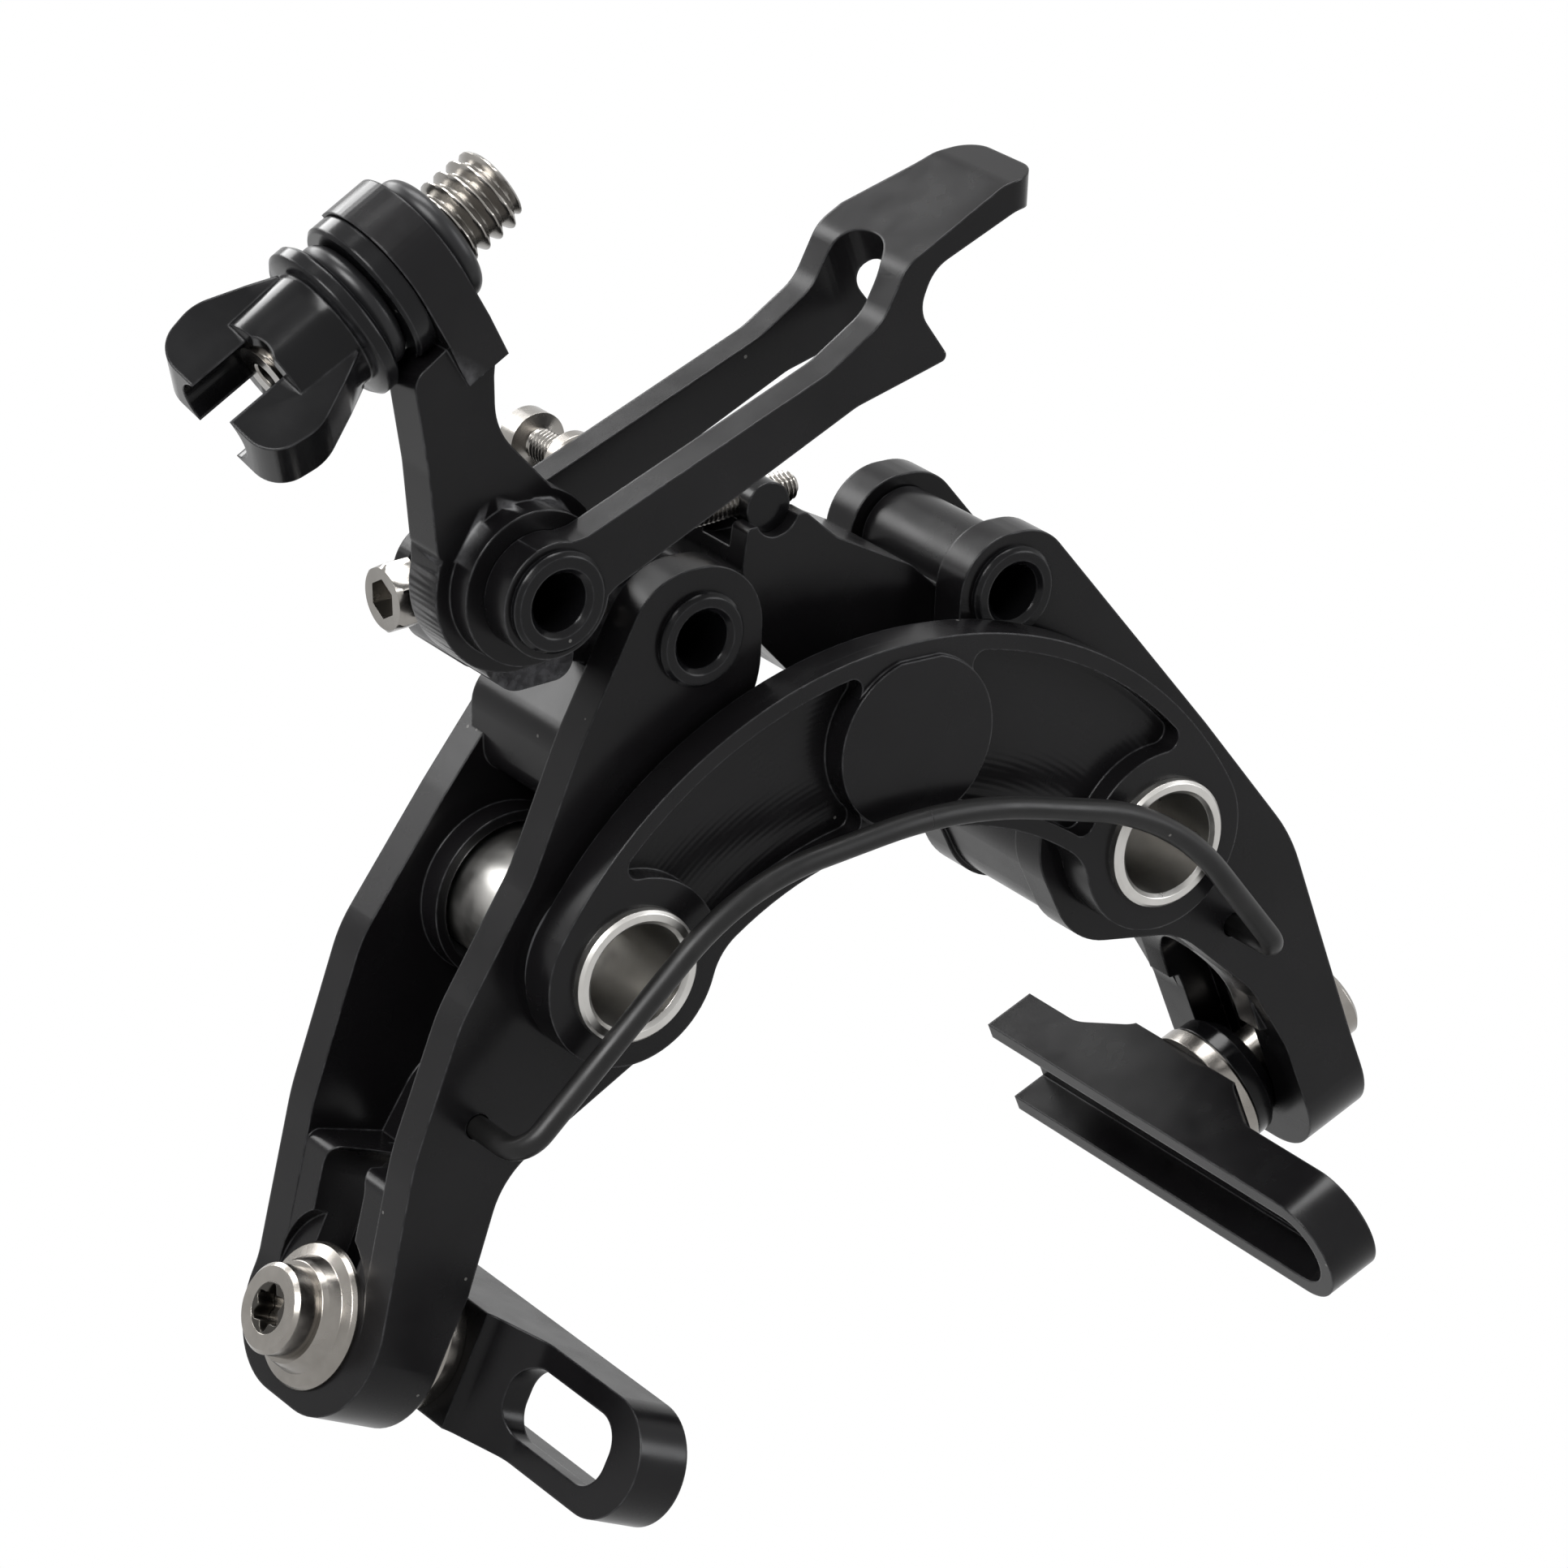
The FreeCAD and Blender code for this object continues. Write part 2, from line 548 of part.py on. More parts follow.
def build_arm(name, side, cheeks, web, block, foot_x, foot_z, lobes, spring_end):
    body = new_body(name)
    pivot = (side * half, 0.0)
    sketch = front_sketch(body, "web_outline", arm_y + arm_plate / 2)
    draw_outline(sketch, web)
    pad(body, "web", sketch, channel_width + arm_plate)
    sketch = front_sketch(body, "foot_outline", arm_y + arm_plate / 2)
    draw_outline(sketch, block)
    pad(body, "foot_block", sketch, channel_width + arm_plate)
    for label, y, outline_corners in (("front_cheek", arm_y, cheeks[0]), ("rear_cheek", rear_y, cheeks[1])):
        sketch = front_sketch(body, label + "_outline", y)
        draw_outline(sketch, outline_corners)
        pad(body, label, sketch, arm_plate)
    boss = front_sketch(body, "boss_outline", rear_y - boss_height)
    draw_circle(boss, pivot, sleeve_radius + running + bush_wall + boss_wall)
    pad(body, "boss", boss, boss_height)
    clear = front_sketch(body, "lobe_space", channel_y)
    draw_circle(clear, lobes[0], lobes[1])
    cut(body, "lobe_relief", clear, channel_width)
    hole = front_sketch(body, "pivot_hole_outline", arm_y)
    draw_circle(hole, pivot, sleeve_radius + running + bush_wall)
    cut(body, "pivot_hole", hole, 2 * arm_plate + channel_width)
    hole = front_sketch(body, "pin_hole_outline", arm_y)
    draw_circle(hole, lobes[0], pin_radius)
    cut(body, "pin_hole", hole, 2 * arm_plate + channel_width)
    wire_hole = front_sketch(body, "spring_hole_outline", arm_y)
    draw_circle(wire_hole, spring_end, wire_radius + 0.15)
    cut(body, "spring_hole", wire_hole, arm_plate)
    # Foot: rounded end about the pad bolt, slot right through and oval recess inside
    centre, along, up = foot_frame(foot_x, foot_z, -side)
    place, normal = foot_plane(centre, along, up, 0.0)
    forward = 1 if normal.dot(along) > 0 else -1
    y_mid = float(channel_y) + float(channel_width) / 2
    half_foot = float(channel_width) / 2 + float(arm_plate)
    radius = float(foot_round)
    low = -radius
    trim = plane_sketch(body, "foot_end_outline", place)
    wide = half_foot + 4.0
    draw_line(trim, (y_mid - wide, 0.0 + 2.0), (y_mid - half_foot, 2.0))
    draw_line(trim, (y_mid - half_foot, 2.0), (y_mid - half_foot, low + radius))
    s = radius * math.sin(math.pi / 4)
    draw_arc(trim, (y_mid - half_foot, low + radius),
             (y_mid - half_foot + radius - s, low + radius - s), (y_mid - half_foot + radius, low))
    draw_line(trim, (y_mid - half_foot + radius, low), (y_mid + half_foot - radius, low))
    draw_arc(trim, (y_mid + half_foot - radius, low),
             (y_mid + half_foot - radius + s, low + radius - s), (y_mid + half_foot, low + radius))
    draw_line(trim, (y_mid + half_foot, low + radius), (y_mid + half_foot, 2.0))
    draw_line(trim, (y_mid + half_foot, 2.0), (y_mid + wide, 2.0))
    draw_line(trim, (y_mid + wide, 2.0), (y_mid + wide, low - 9.0))
    draw_line(trim, (y_mid + wide, low - 9.0), (y_mid - wide, low - 9.0))
    draw_line(trim, (y_mid - wide, low - 9.0), (y_mid - wide, 2.0))
    item = feature(body, "Pocket", "foot_end", trim, 40.0, False, "")
    item.Midplane = True
    slot = plane_sketch(body, "slot_outline", place)
    w = float(slot_width) / 2
    top, bottom = float(slot_up), -float(shaft_radius) - float(slot_down)
    draw_outline(slot, [(y_mid - w, top, w - 0.01), (y_mid + w, top, w - 0.01),
                        (y_mid + w, bottom, w - 0.01), (y_mid - w, bottom, w - 0.01)])
    item = feature(body, "Pocket", "slot", slot, 40.0, False, "")
    item.Midplane = True
    spot = float(bell_radius) + float(spot_gap)
    place, normal = foot_plane(centre, along, up, -float(foot_depth) / 2)
    face = plane_sketch(body, "spot_face_outline", place)
    top = float(pad_travel) + spot
    draw_outline(face, [(y_mid - spot, top, spot - 0.01), (y_mid + spot, top, spot - 0.01),
                        (y_mid + spot, -spot - 1.2, spot - 0.01), (y_mid - spot, -spot - 1.2, spot - 0.01)])
    feature(body, "Pocket", "spot_face", face, 9.0, forward < 0, "")
    place, normal = foot_plane(centre, along, up, float(foot_depth) / 2 - float(recess_depth))
    recess = plane_sketch(body, "recess_outline", place)
    w, top = float(recess_width) / 2, float(slot_up)
    bottom = bottom - (float(recess_width) - float(slot_width)) / 2 + 1.2
    draw_outline(recess, [(y_mid - w, top + 1.5, w - 0.01), (y_mid + w, top + 1.5, w - 0.01),
                          (y_mid + w, bottom, w - 0.01), (y_mid - w, bottom, w - 0.01)])
    feature(body, "Pocket", "recess", recess, 14.0, forward > 0, "")
    return body


left_foot_x, left_foot_z = -51.7, -37.85
right_foot_x, right_foot_z = 60.0, -35.4


def foot_points(x, z, inward, outer_top, inner_top, deeper=0.0):
    """Corners of a foot in the side view: outer face, lower end and inner face."""
    centre, along, up = foot_frame(x, z, inward)
    reach = float(foot_depth) / 2
    low = float(foot_round) + deeper
    outer_low = centre - along * reach - up * low
    inner_low = centre + along * reach - up * low
    outer_high = centre - along * reach + up * outer_top
    inner_high = centre + along * reach + up * inner_top
    return [(p.x, p.z) for p in (outer_high, outer_low, inner_low, inner_high)]


left_front_foot = foot_points(left_foot_x, left_foot_z, 1, 1.5, 8.0)
left_block_foot = foot_points(left_foot_x, left_foot_z, 1, 1.5, 8.0, 2.0)
left_cheek = [
    (-14.6, 36.7, 6.9),
    (-26.9, 36.7, 6.9),
    (-34.4, 21.3, 20),
    (-39.2, 8.9, 14),
    (-46.6, -3.7, 18),
    (-51.3, -17.0, 25),
    left_front_foot[0] + (9,),
    left_front_foot[1] + (0,),
    left_front_foot[2] + (0,),
    left_front_foot[3] + (6,),
    (-41.4, -20.4, 9),
    (-24.5, -10.6, 8),
    (-19.6, -2.0, 8),
    (-20.2, 9.5, 16),
    (-14.6, 25.0, 10)]
left_rear_cheek = [
    (-14.6, 36.7, 6.9),
    (-27.8, 36.7, 6.85),
    (-29.4, 21.3, 12),
    (-37.2, 10.8, 20),
    (-46.2, -2.2, 14),
    (-51.2, -18.0, 25),
    left_front_foot[0] + (9,),
    left_front_foot[1] + (0,),
    left_front_foot[2] + (0,),
    left_front_foot[3] + (6,),
    (-41.4, -20.4, 9),
    (-24.5, -10.6, 8),
    (-19.6, -2.0, 8),
    (-20.2, 9.5, 16),
    (-14.6, 25.0, 10)]
left_web = [
    (-17.0, 27.5, 0),
    (-21.6, 27.5, 0),
    (-24.6, 23.6, 0),
    (-28.4, 25.4, 0),
    (-33.4, 20.0, 4),
    (-33.0, 12.4, 3),
    (-22.9, 10.4, 5),
    (-22.3, -5.0, 6),
    (-33.0, -12.6, 6),
    (-40.0, -17.0, 6),
    (-44.5, -24.5, 6),
    (-46.5, -30.0, 0),
    (-45.2, -30.0, 0),
    (-41.8, -20.2, 9),
    (-24.9, -10.2, 7.6),
    (-20.1, -2.0, 7.6),
    (-20.7, 9.5, 16),
    (-17.0, 19.5, 10)]
left_block = [
    (-51.6, -20.5, 1.2),
    left_block_foot[0] + (8,),
    left_block_foot[1] + (0,),
    left_block_foot[2] + (0,),
    left_block_foot[3] + (5,),
    (-42.6, -23.0, 1.0)]
build_arm("left_arm", -1, (left_cheek, left_rear_cheek), left_web, left_block,
          left_foot_x, left_foot_z, ((clevis_x, clevis_z), lug_radius + free_gap), (-44.4, -14.5))

right_front_foot = foot_points(right_foot_x, right_foot_z, -1, 5.0, 8.0)
right_block_foot = foot_points(right_foot_x, right_foot_z, -1, 5.0, 8.0, 2.0)
right_cheek = [
    (8.3, 33.5, 5.8),
    (8.3, 21.5, 5.8),
    (17.0, 14.0, 12),
    (20.2, 7.5, 12),
    (19.6, -2.0, 8),
    (24.5, -11.4, 8),
    (38.0, -13.4, 10),
    (48.2, -22.0, 14),
    right_front_foot[3] + (6,),
    right_front_foot[2] + (0,),
    right_front_foot[1] + (0,),
    right_front_foot[0] + (9,),
    (57.4, -19.6, 22),
    (51.6, -5.6, 22),
    (39.4, 9.0, 30),
    (18.0, 33.5, 5.8)]
right_web = [
    (12.6, 24.4, 0),
    (23.6, 24.4, 1.5),
    (34.4, 11.0, 1.5),
    (31.0, 10.2, 4),
    (22.9, 10.2, 5),
    (22.3, -5.0, 6),
    (35.0, -11.2, 6),
    (47.0, -18.0, 8),
    (54.0, -28.0, 0),
    (51.2, -28.0, 0),
    (48.5, -21.7, 14),
    (38.2, -13.0, 10),
    (24.9, -11.0, 7.6),
    (20.1, -2.0, 7.6),
    (20.7, 7.5, 12),
    (17.4, 14.0, 8)]
right_block = [
    (57.2, -18.5, 1.2),
    (49.6, -22.6, 1.0),
    right_block_foot[3] + (5,),
    right_block_foot[2] + (0,),
    right_block_foot[1] + (0,),
    right_block_foot[0] + (8,)]
build_arm("right_arm", 1, (right_cheek, right_cheek), right_web, right_block,
          right_foot_x, right_foot_z, ((saddle_x, saddle_z), eye_radius + free_gap), (45.0, -14.0))

# Bushes: a flanged bush in each cheek runs on the sleeve

for name, side, y, outward in (("left_front_bush", -1, arm_y, 1), ("left_rear_bush", -1, arm_back, -1),
                               ("right_front_bush", 1, arm_y, 1), ("right_rear_bush", 1, arm_back, -1)):
    inner = sleeve_radius + running
    outer = inner + bush_wall
    face = flange_gap - side_play
    turned_y(name, [
        (-outward * face, inner),
        (-outward * face, bush_flange),
        (0.0, bush_flange),
        (0.0, outer),
        (outward * arm_plate, outer),
        (outward * arm_plate, inner)], side * half, y, Size(0, "0"))

# Hollow linkage pins of the arms

pin_length = 2 * arm_plate + channel_width
for name, x, z in (("clevis_pin", clevis_x, clevis_z), ("saddle_pin", saddle_x, saddle_z)):
    turned_y(name, [
        (-flange_depth, pin_bore + 0.5),
        (-flange_depth, pin_flange - 0.4),
        (0.4 - flange_depth, pin_flange),
        (0.0, pin_flange),
        (0.0, pin_radius),
        (pin_length, pin_radius),
        (pin_length, 0.0),
        (pin_length / 2, 0.0),
        (pin_length / 2, pin_bore),
        (0.5 - flange_depth, pin_bore)], x, arm_y, z)

# Crank: lug at the left arm, link with the screw fork, stop arm plate and barrel hook in one piece

crank = new_body("stop_arm")
lever_pivot = (lever_x, lever_z)
sketch = front_sketch(crank, "base_outline", stop_front)
draw_circle(sketch, lever_pivot, stop_base)
pad(crank, "base", sketch, stop_depth)
sketch = front_sketch(crank, "plate_outline", stop_front)
draw_outline(sketch, [
    (-52.0, 60.5, 0),
    (-52.55, 41.5, 12),
    (-50.0, 36.0, 0),
    (-39.0, 37.5, 0),
    (-36.2, 44.4, 0),
    (-41.0, 49.2, 12),
    (-47.0, 57.6, 4),
    (-47.2, 60.5, 0)])
pad(crank, "plate", sketch, stop_depth)
sketch = front_sketch(crank, "boss_outline", lever_front + front_rail + side_play)
draw_circle(sketch, lever_pivot, stop_boss)
pad(crank, "boss", sketch, stop_front - lever_front - front_rail - side_play + 1.0)
link_front = link_y - crank_depth / 2
sketch = front_sketch(crank, "bridge_outline", stop_front + stop_depth / 2)
draw_outline(sketch, [
    (-45.6, 31.2, 1.5),
    (-43.0, 29.0, 3),
    (-36.4, 29.4, 2),
    (-36.2, 34.4, 1),
    (-45.8, 34.5, 0.5)])
pad(crank, "bridge", sketch, link_front + 1.0 - stop_front - stop_depth / 2)
sketch = front_sketch(crank, "link_outline", link_front)
draw_outline(sketch, [
    (-42.0, 40.9, 0),
    (-46.0, 33.6, 0),
    (-44.4, 29.4, 3),
    (-32.0, 27.8, 8),
    (-24.0, 24.2, 2),
    (-18.0, 30.0, 2),
    (-24.5, 35.2, 3),
    (-36.8, 37.4, 4),
    (-39.4, 40.6, 1)])
pad(crank, "link", sketch, crank_depth)
sketch = front_sketch(crank, "fork_outline", link_front)
draw_circle(sketch, (hinge_x, hinge_z), swivel_radius + swivel_wall)
pad(crank, "fork", sketch, crank_depth)
sketch = front_sketch(crank, "lug_outline", channel_y + free_gap)
draw_circle(sketch, (clevis_x, clevis_z), lug_radius)
pad(crank, "lug", sketch, channel_width - 2 * free_gap)
sketch = front_sketch(crank, "lug_hole_outline", channel_y)
draw_circle(sketch, (clevis_x, clevis_z), pin_radius + running)
cut(crank, "lug_hole", sketch, channel_width)
# Fork for the screw swivel
screw_angle = math.degrees(math.atan2(float(trunnion_z) - float(hinge_z), float(trunnion_x) - float(hinge_x)))
sketch = front_sketch(crank, "swivel_hole_outline", link_front + 0.8)
draw_circle(sketch, (hinge_x, hinge_z), swivel_radius + running)
cut(crank, "swivel_hole", sketch, crank_depth)
channel = front_sketch(crank, "screw_channel_outline", link_y - screw_radius - 0.5)
draw_outline(channel, [
    (-56.0, 32.4, 0), (-46.0, 33.2, 0.5), (-38.4, 33.8, 0.5), (-27.0, 35.0, 0), (-27.0, 45.0, 0), (-56.0, 45.0, 0)])
cut(crank, "screw_channel", channel, 2 * screw_radius + 1.0)
# Lever pin hole
sketch = front_sketch(crank, "lever_hole_outline", lever_front)
draw_circle(sketch, lever_pivot, pin_radius)
cut(crank, "lever_hole", sketch, 11.0)
# Waist and hook that carry the barrel adjuster
axis_place = tilted(tip_x, barrel_y, tip_z, barrel_tilt)
axis_dir = axis_place.Rotation.multVec(Vector(1, 0, 0))
axis_up = axis_place.Rotation.multVec(Vector(0, 0, 1))
hook_base = axis_place.Base - axis_dir * float(hook_start)
hook_place = Placement(hook_base, Rotation(Vector(0, 1, 0), axis_up, Vector(0, 1, 0).cross(axis_up), "ZXY"))
hook_inner = float(barrel_radius) + float(free_gap)
hook_outer = hook_inner + float(hook_wall)
hook_normal = hook_place.Rotation.multVec(Vector(0, 0, 1))
hook = plane_sketch(crank, "hook_outline", hook_place)


def polar(radius, degrees):
    return (radius * math.cos(math.radians(degrees)), radius * math.sin(math.radians(degrees)))


# Sketch x points to the frame and sketch y up across the barrel; the hook opens to the back
open_top = 52.0
open_low = -28.0
stem = 12.6
draw_arc(hook, polar(hook_outer, open_top), polar(hook_outer, 120.0), polar(hook_outer, 180.0))
draw_arc(hook, polar(hook_inner, open_top), polar(hook_inner, 180.0), polar(hook_inner, open_low))
draw_line(hook, polar(hook_outer, open_top), polar(hook_inner, open_top))
draw_line(hook, polar(hook_inner, open_low), (6.2, -2.6))
draw_line(hook, (6.2, -2.6), (6.2, -stem))
draw_line(hook, (6.2, -stem), (-6.6, -stem))
draw_line(hook, (-6.6, -stem), (-hook_outer, -5.0))
draw_line(hook, (-hook_outer, -5.0), (-hook_outer, 0.0))
hook_back = hook_normal.dot(axis_dir) < 0
feature(crank, "Pad", "hook", hook, hook_depth, not hook_back, "")

# Steel dowel pressed into the crank beside the lever pin
dowel_radius = size("dowel_radius", 1.1, "stop dowel")
dowel_depth = size("dowel_depth", 3.0, "seat of the stop dowel")
doc.recompute()
dowel_x, dowel_z = -30.3, 33.1
sketch = front_sketch(crank, "dowel_hole_outline", link_front)
draw_circle(sketch, (dowel_x, dowel_z), dowel_radius)
cut(crank, "dowel_hole", sketch, dowel_depth)
turned_y("stop_dowel", [(-1.6, 0.0), (-1.6, 0.8), (-1.3, dowel_radius), (dowel_depth, dowel_radius),
                        (dowel_depth, 0.0)], dowel_x, link_front, dowel_z)

# Lever pin, screw swivel, trunnion and adjusting screw

lever_pin_length = lever_width
turned_y("lever_pin", [
    (-flange_depth, pin_bore + 0.5),
    (-flange_depth, pin_flange - 0.2),
    (0.4 - flange_depth, pin_flange + 0.2),
    (0.0, pin_flange + 0.2),
    (0.0, pin_radius),
    (lever_pin_length, pin_radius),
    (lever_pin_length, 0.0),
    (lever_pin_length / 2, 0.0),
    (lever_pin_length / 2, pin_bore),
    (0.5 - flange_depth, pin_bore)], lever_x, lever_front, lever_z)

screw_turn = tilted(0, 0, 0, screw_angle)


def screw_body(name, x, y, z):
    body = new_body(name)
    body.Placement = tilted(x, y, z, screw_angle)
    return body


def cross_barrel(name, x, z, radius, length, hole):
    """A round bar along Y with a cross hole for the adjusting screw."""
    body = screw_body(name, x, link_y - length / 2, z)
    sketch = front_sketch(body, name + "_outline", 0.0)
    draw_circle(sketch, (0.0, 0.0), radius)
    pad(body, name + "_bar", sketch, length)
    bore = body.newObject("Sketcher::SketchObject", name + "_bore_outline")
    bore.AttachmentSupport = (origin_plane(body, "YZ_Plane"), "")
    bore.MapMode = "FlatFace"
    draw_circle(bore, (length / 2, 0.0), hole)
    item = feature(body, "Pocket", name + "_bore", bore, 20.0, False, "")
    item.Midplane = True
    return body


cross_barrel("screw_swivel", hinge_x, hinge_z, swivel_radius, crank_depth - 1.6, screw_radius + screw_hole)
cross_barrel("trunnion", trunnion_x, trunnion_z, trunnion_radius, trunnion_length, screw_radius + screw_hole)

screw_reach = math.hypot(float(trunnion_x) - float(hinge_x), float(trunnion_z) - float(hinge_z))
head_start = swivel_radius + swivel_wall + head_reach
screw = turned("adjusting_screw", [
    (-head_start - 3.2, 1.9),
    (-head_start - 3.2, 3.1),
    (-head_start - 2.8, 3.45),
    (-head_start - 0.3, 3.45),
    (-head_start, 3.1),
    (-head_start, screw_radius),
    (screw_reach + 4.6, screw_radius),
    (screw_reach + 5.0, screw_radius - 0.4),
    (screw_reach + 5.0, 0.0),
    (-head_start - 1.2, 0.0),
    (-head_start - 1.2, 1.9)], tilted(hinge_x, link_y, hinge_z, screw_angle))
flats = screw.newObject("Sketcher::SketchObject", "hexagon_outline")
flats.AttachmentSupport = (origin_plane(screw, "YZ_Plane"), "")
flats.MapMode = "FlatFace"
flats.AttachmentOffset = Placement(Vector(0, 0, -float(head_start)), Rotation())
draw_circle(flats, (0.0, 0.0), 6.0)
across_corners = hex_flats / math.sqrt(3.0)
for i in range(6):
    a, b = math.radians(60 * i + 30), math.radians(60 * i + 90)
    draw_line(flats, (float(across_corners) * math.cos(a), float(across_corners) * math.sin(a)),
              (float(across_corners) * math.cos(b), float(across_corners) * math.sin(b)))
feature(screw, "Pocket", "hexagon", flats, 4.0, False, "")

# Saddle link: eye on the right arm, open cradle under the trunnion, hollow back

saddle = new_body("saddle_link")
saddle_half = channel_width / 2 - free_gap
saddle_front = channel_y + channel_width / 2 - saddle_half
sketch = front_sketch(saddle, "eye_outline", saddle_front)
draw_circle(sketch, (saddle_x, saddle_z), eye_radius)
pad(saddle, "eye", sketch, 2 * saddle_half)
sketch = front_sketch(saddle, "link_outline", saddle_front)
draw_outline(sketch, [
    (13.6, 32.2, 0),
    (7.4, 32.4, 14),
    (-3.4, 35.2, 3),
    (-7.0, 38.0, 0.6),
    (-13.6, 37.4, 0.6),
    (-14.4, 33.4, 2.4),
    (-6.0, 29.4, 10),
    (6.0, 24.2, 8),
    (14.0, 23.0, 0)])
pad(saddle, "link", sketch, 2 * saddle_half)
sketch = front_sketch(saddle, "cradle_outline", saddle_front)
draw_circle(sketch, (trunnion_x, trunnion_z), trunnion_radius + running)
cut(saddle, "cradle", sketch, 2 * saddle_half)
sketch = front_sketch(saddle, "screw_space_outline", link_y - screw_radius - 0.7)
draw_outline(sketch, [(-18.0, 36.0, 0), (-12.6, 34.8, 0.5), (-1.0, 34.8, 0.5), (-1.0, 44.0, 0), (-18.0, 44.0, 0)])
cut(saddle, "screw_space", sketch, 2 * screw_radius + 1.4)
sketch = front_sketch(saddle, "pin_hole_outline", saddle_front)
draw_circle(sketch, (saddle_x, saddle_z), pin_radius + running)
cut(saddle, "pin_hole", sketch, 2 * saddle_half)

# Quick-release lever: two rails around a long window, hook and paddle at the end

lever = new_body("quick_release_lever")
lever_dir = Vector(math.cos(math.radians(float(lever_angle))), 0, math.sin(math.radians(float(lever_angle))))
sketch = front_sketch(lever, "lever_outline", lever_front)
draw_outline(sketch, [
    (-43.6, 35.5, 0),
    (-37.6, 41.0, 4),
    (-12.0, 53.6, 6),
    (-4.2, 55.9, 2),
    (-1.9, 56.6, 0.6),
    (-5.6, 61.6, 3),
    (-4.2, 65.4, 4),
    (5.0, 69.6, 3),
    (10.6, 69.2, 1.7),
    (10.4, 73.4, 1.7),
    (3.4, 72.2, 4),
    (-7.2, 66.2, 4),
    (-9.6, 61.2, 5),
    (-15.2, 57.4, 8),
    (-41.0, 46.3, 4),
    (-46.0, 46.0, 0)])
pad(lever, "lever_blank", sketch, lever_width)
sketch = front_sketch(lever, "eye_outline", lever_front)
draw_circle(sketch, lever_pivot, lever_eye)
pad(lever, "eyes", sketch, lever_width)
# Window between the rails, open at the hinge end and closed by a round end near the hook
window = plane_sketch(lever, "window_outline", Placement(
    Vector(float(lever_x), 0, float(lever_z)), Rotation(Vector(0, 1, 0), -float(lever_angle))))
window_front = float(lever_front) + float(front_rail)
window_back = float(lever_front) + float(lever_width) - float(rear_rail)
window_end = 41.0
draw_outline(window, [
    (-12.0, window_front, 0), (-12.0, window_back, 0), (window_end, window_back, 3.0),
    (window_end, window_front, 3.0)])
item = feature(lever, "Pocket", "window", window, 60.0, False, "")
item.Midplane = True
sketch = front_sketch(lever, "lever_pin_hole_outline", lever_front)
draw_circle(sketch, lever_pivot, pin_radius + running)
cut(lever, "lever_pin_hole", sketch, lever_width)
sketch = front_sketch(lever, "anchor_hole_outline", window_back)
draw_circle(sketch, (-32.5, 47.0), 1.7)
cut(lever, "anchor_hole", sketch, rear_rail)

turned_y("anchor_bolt", [
    (-0.8, 0.0),
    (-0.8, 1.2),
    (-0.5, 1.65),
    (9.5, 1.65),
    (9.8, 2.9),
    (12.0, 2.9),
    (12.3, 2.5),
    (12.3, 0.0)], -32.5, window_back, 47.0)
turned_y("anchor_washer", [(0.0, 1.7), (0.0, 4.2), (0.3, 4.5), (1.5, 4.5), (1.5, 1.7)],
         -32.5, lever_front + lever_width, 47.0)

# Barrel adjuster: threaded barrel, hook, winged knob, washer and two rubber rings


def on_barrel(distance):
    """Placement on the barrel axis at a distance behind the tip, local X towards the tip."""
    base = axis_place.Base - axis_dir * float(distance)
    return Placement(base, axis_place.Rotation)


turned("adjuster_barrel", [
    (-barrel_length, cable_bore),
    (-barrel_length, barrel_radius - 0.6),
    (0.6 - barrel_length, barrel_radius),
    (-0.6, barrel_radius),
    (0.0, barrel_radius - 0.6),
    (0.0, cable_bore + 0.9),
    (-1.2, cable_bore)], on_barrel(0.0))


def rubber_ring(name, distance):
    body = new_body(name)
    sketch = body.newObject("Sketcher::SketchObject", name + "_section")
    sketch.AttachmentSupport = (origin_plane(body, "XY_Plane"), "")
    sketch.MapMode = "FlatFace"
    draw_circle(sketch, (0.0, barrel_radius + ring_section + 0.02), ring_section)
    spin = body.newObject("PartDesign::Revolution", name + "_turned")
    spin.Profile = sketch
    spin.ReferenceAxis = (sketch, ["H_Axis"])
    spin.Angle = 360
    body.Placement = on_barrel(distance)
    return body


rubber_ring("upper_ring", float(hook_start) - float(ring_section) - 0.05)
washer_start = hook_start + hook_depth + 0.1
rubber_ring("lower_ring", float(washer_start) + 2.0 + float(ring_section) + 0.05)
washer = turned("stop_washer", [
    (-2.0, barrel_radius + 0.15),
    (-2.0, 7.0),
    (-1.7, 7.3),
    (0.0, 7.3),
    (0.0, barrel_radius + 0.15)], on_barrel(washer_start))
knob_start = washer_start + 2.0 + 2 * ring_section + 0.1
knob_length = 14.8
knob = turned("adjuster_knob", [
    (-8.6, barrel_radius + running),
    (-8.6, 5.7),
    (-1.9, 5.9),
    (-1.9, 7.2),
    (-1.5, 7.7),
    (-0.4, 7.7),
    (0.0, 7.3),
    (0.0, barrel_radius + running)], on_barrel(knob_start))
wing_place = Placement(Vector(0, 0, 0), Rotation(Vector(1, 0, 0), 33))
wings = plane_sketch(knob, "wing_outline", wing_place)
draw_outline(wings, [
    (-2.4, -5.2, 0), (-5.0, -6.4, 3), (-9.6, -8.3, 5), (-knob_length, -7.4, 3.2), (-knob_length, 0.0, 0),
    (-knob_length, 7.4, 3.2), (-9.6, 8.3, 5), (-5.0, 6.4, 3), (-2.4, 5.2, 0)])
item = feature(knob, "Pad", "wings", wings, 6.6, False, "")
item.Midplane = True
slot = plane_sketch(knob, "wing_slot_outline", wing_place)
draw_outline(slot, [(-knob_length - 1.0, -2.3, 0), (-knob_length - 1.0, 2.3, 0), (-8.2, 2.3, 2.2), (-8.2, -2.3, 2.2)])
item = feature(knob, "Pocket", "wing_slot", slot, 30.0, False, "")
item.Midplane = True
thread = knob.newObject("Sketcher::SketchObject", "thread_outline")
thread.AttachmentSupport = (origin_plane(knob, "YZ_Plane"), "")
thread.MapMode = "FlatFace"
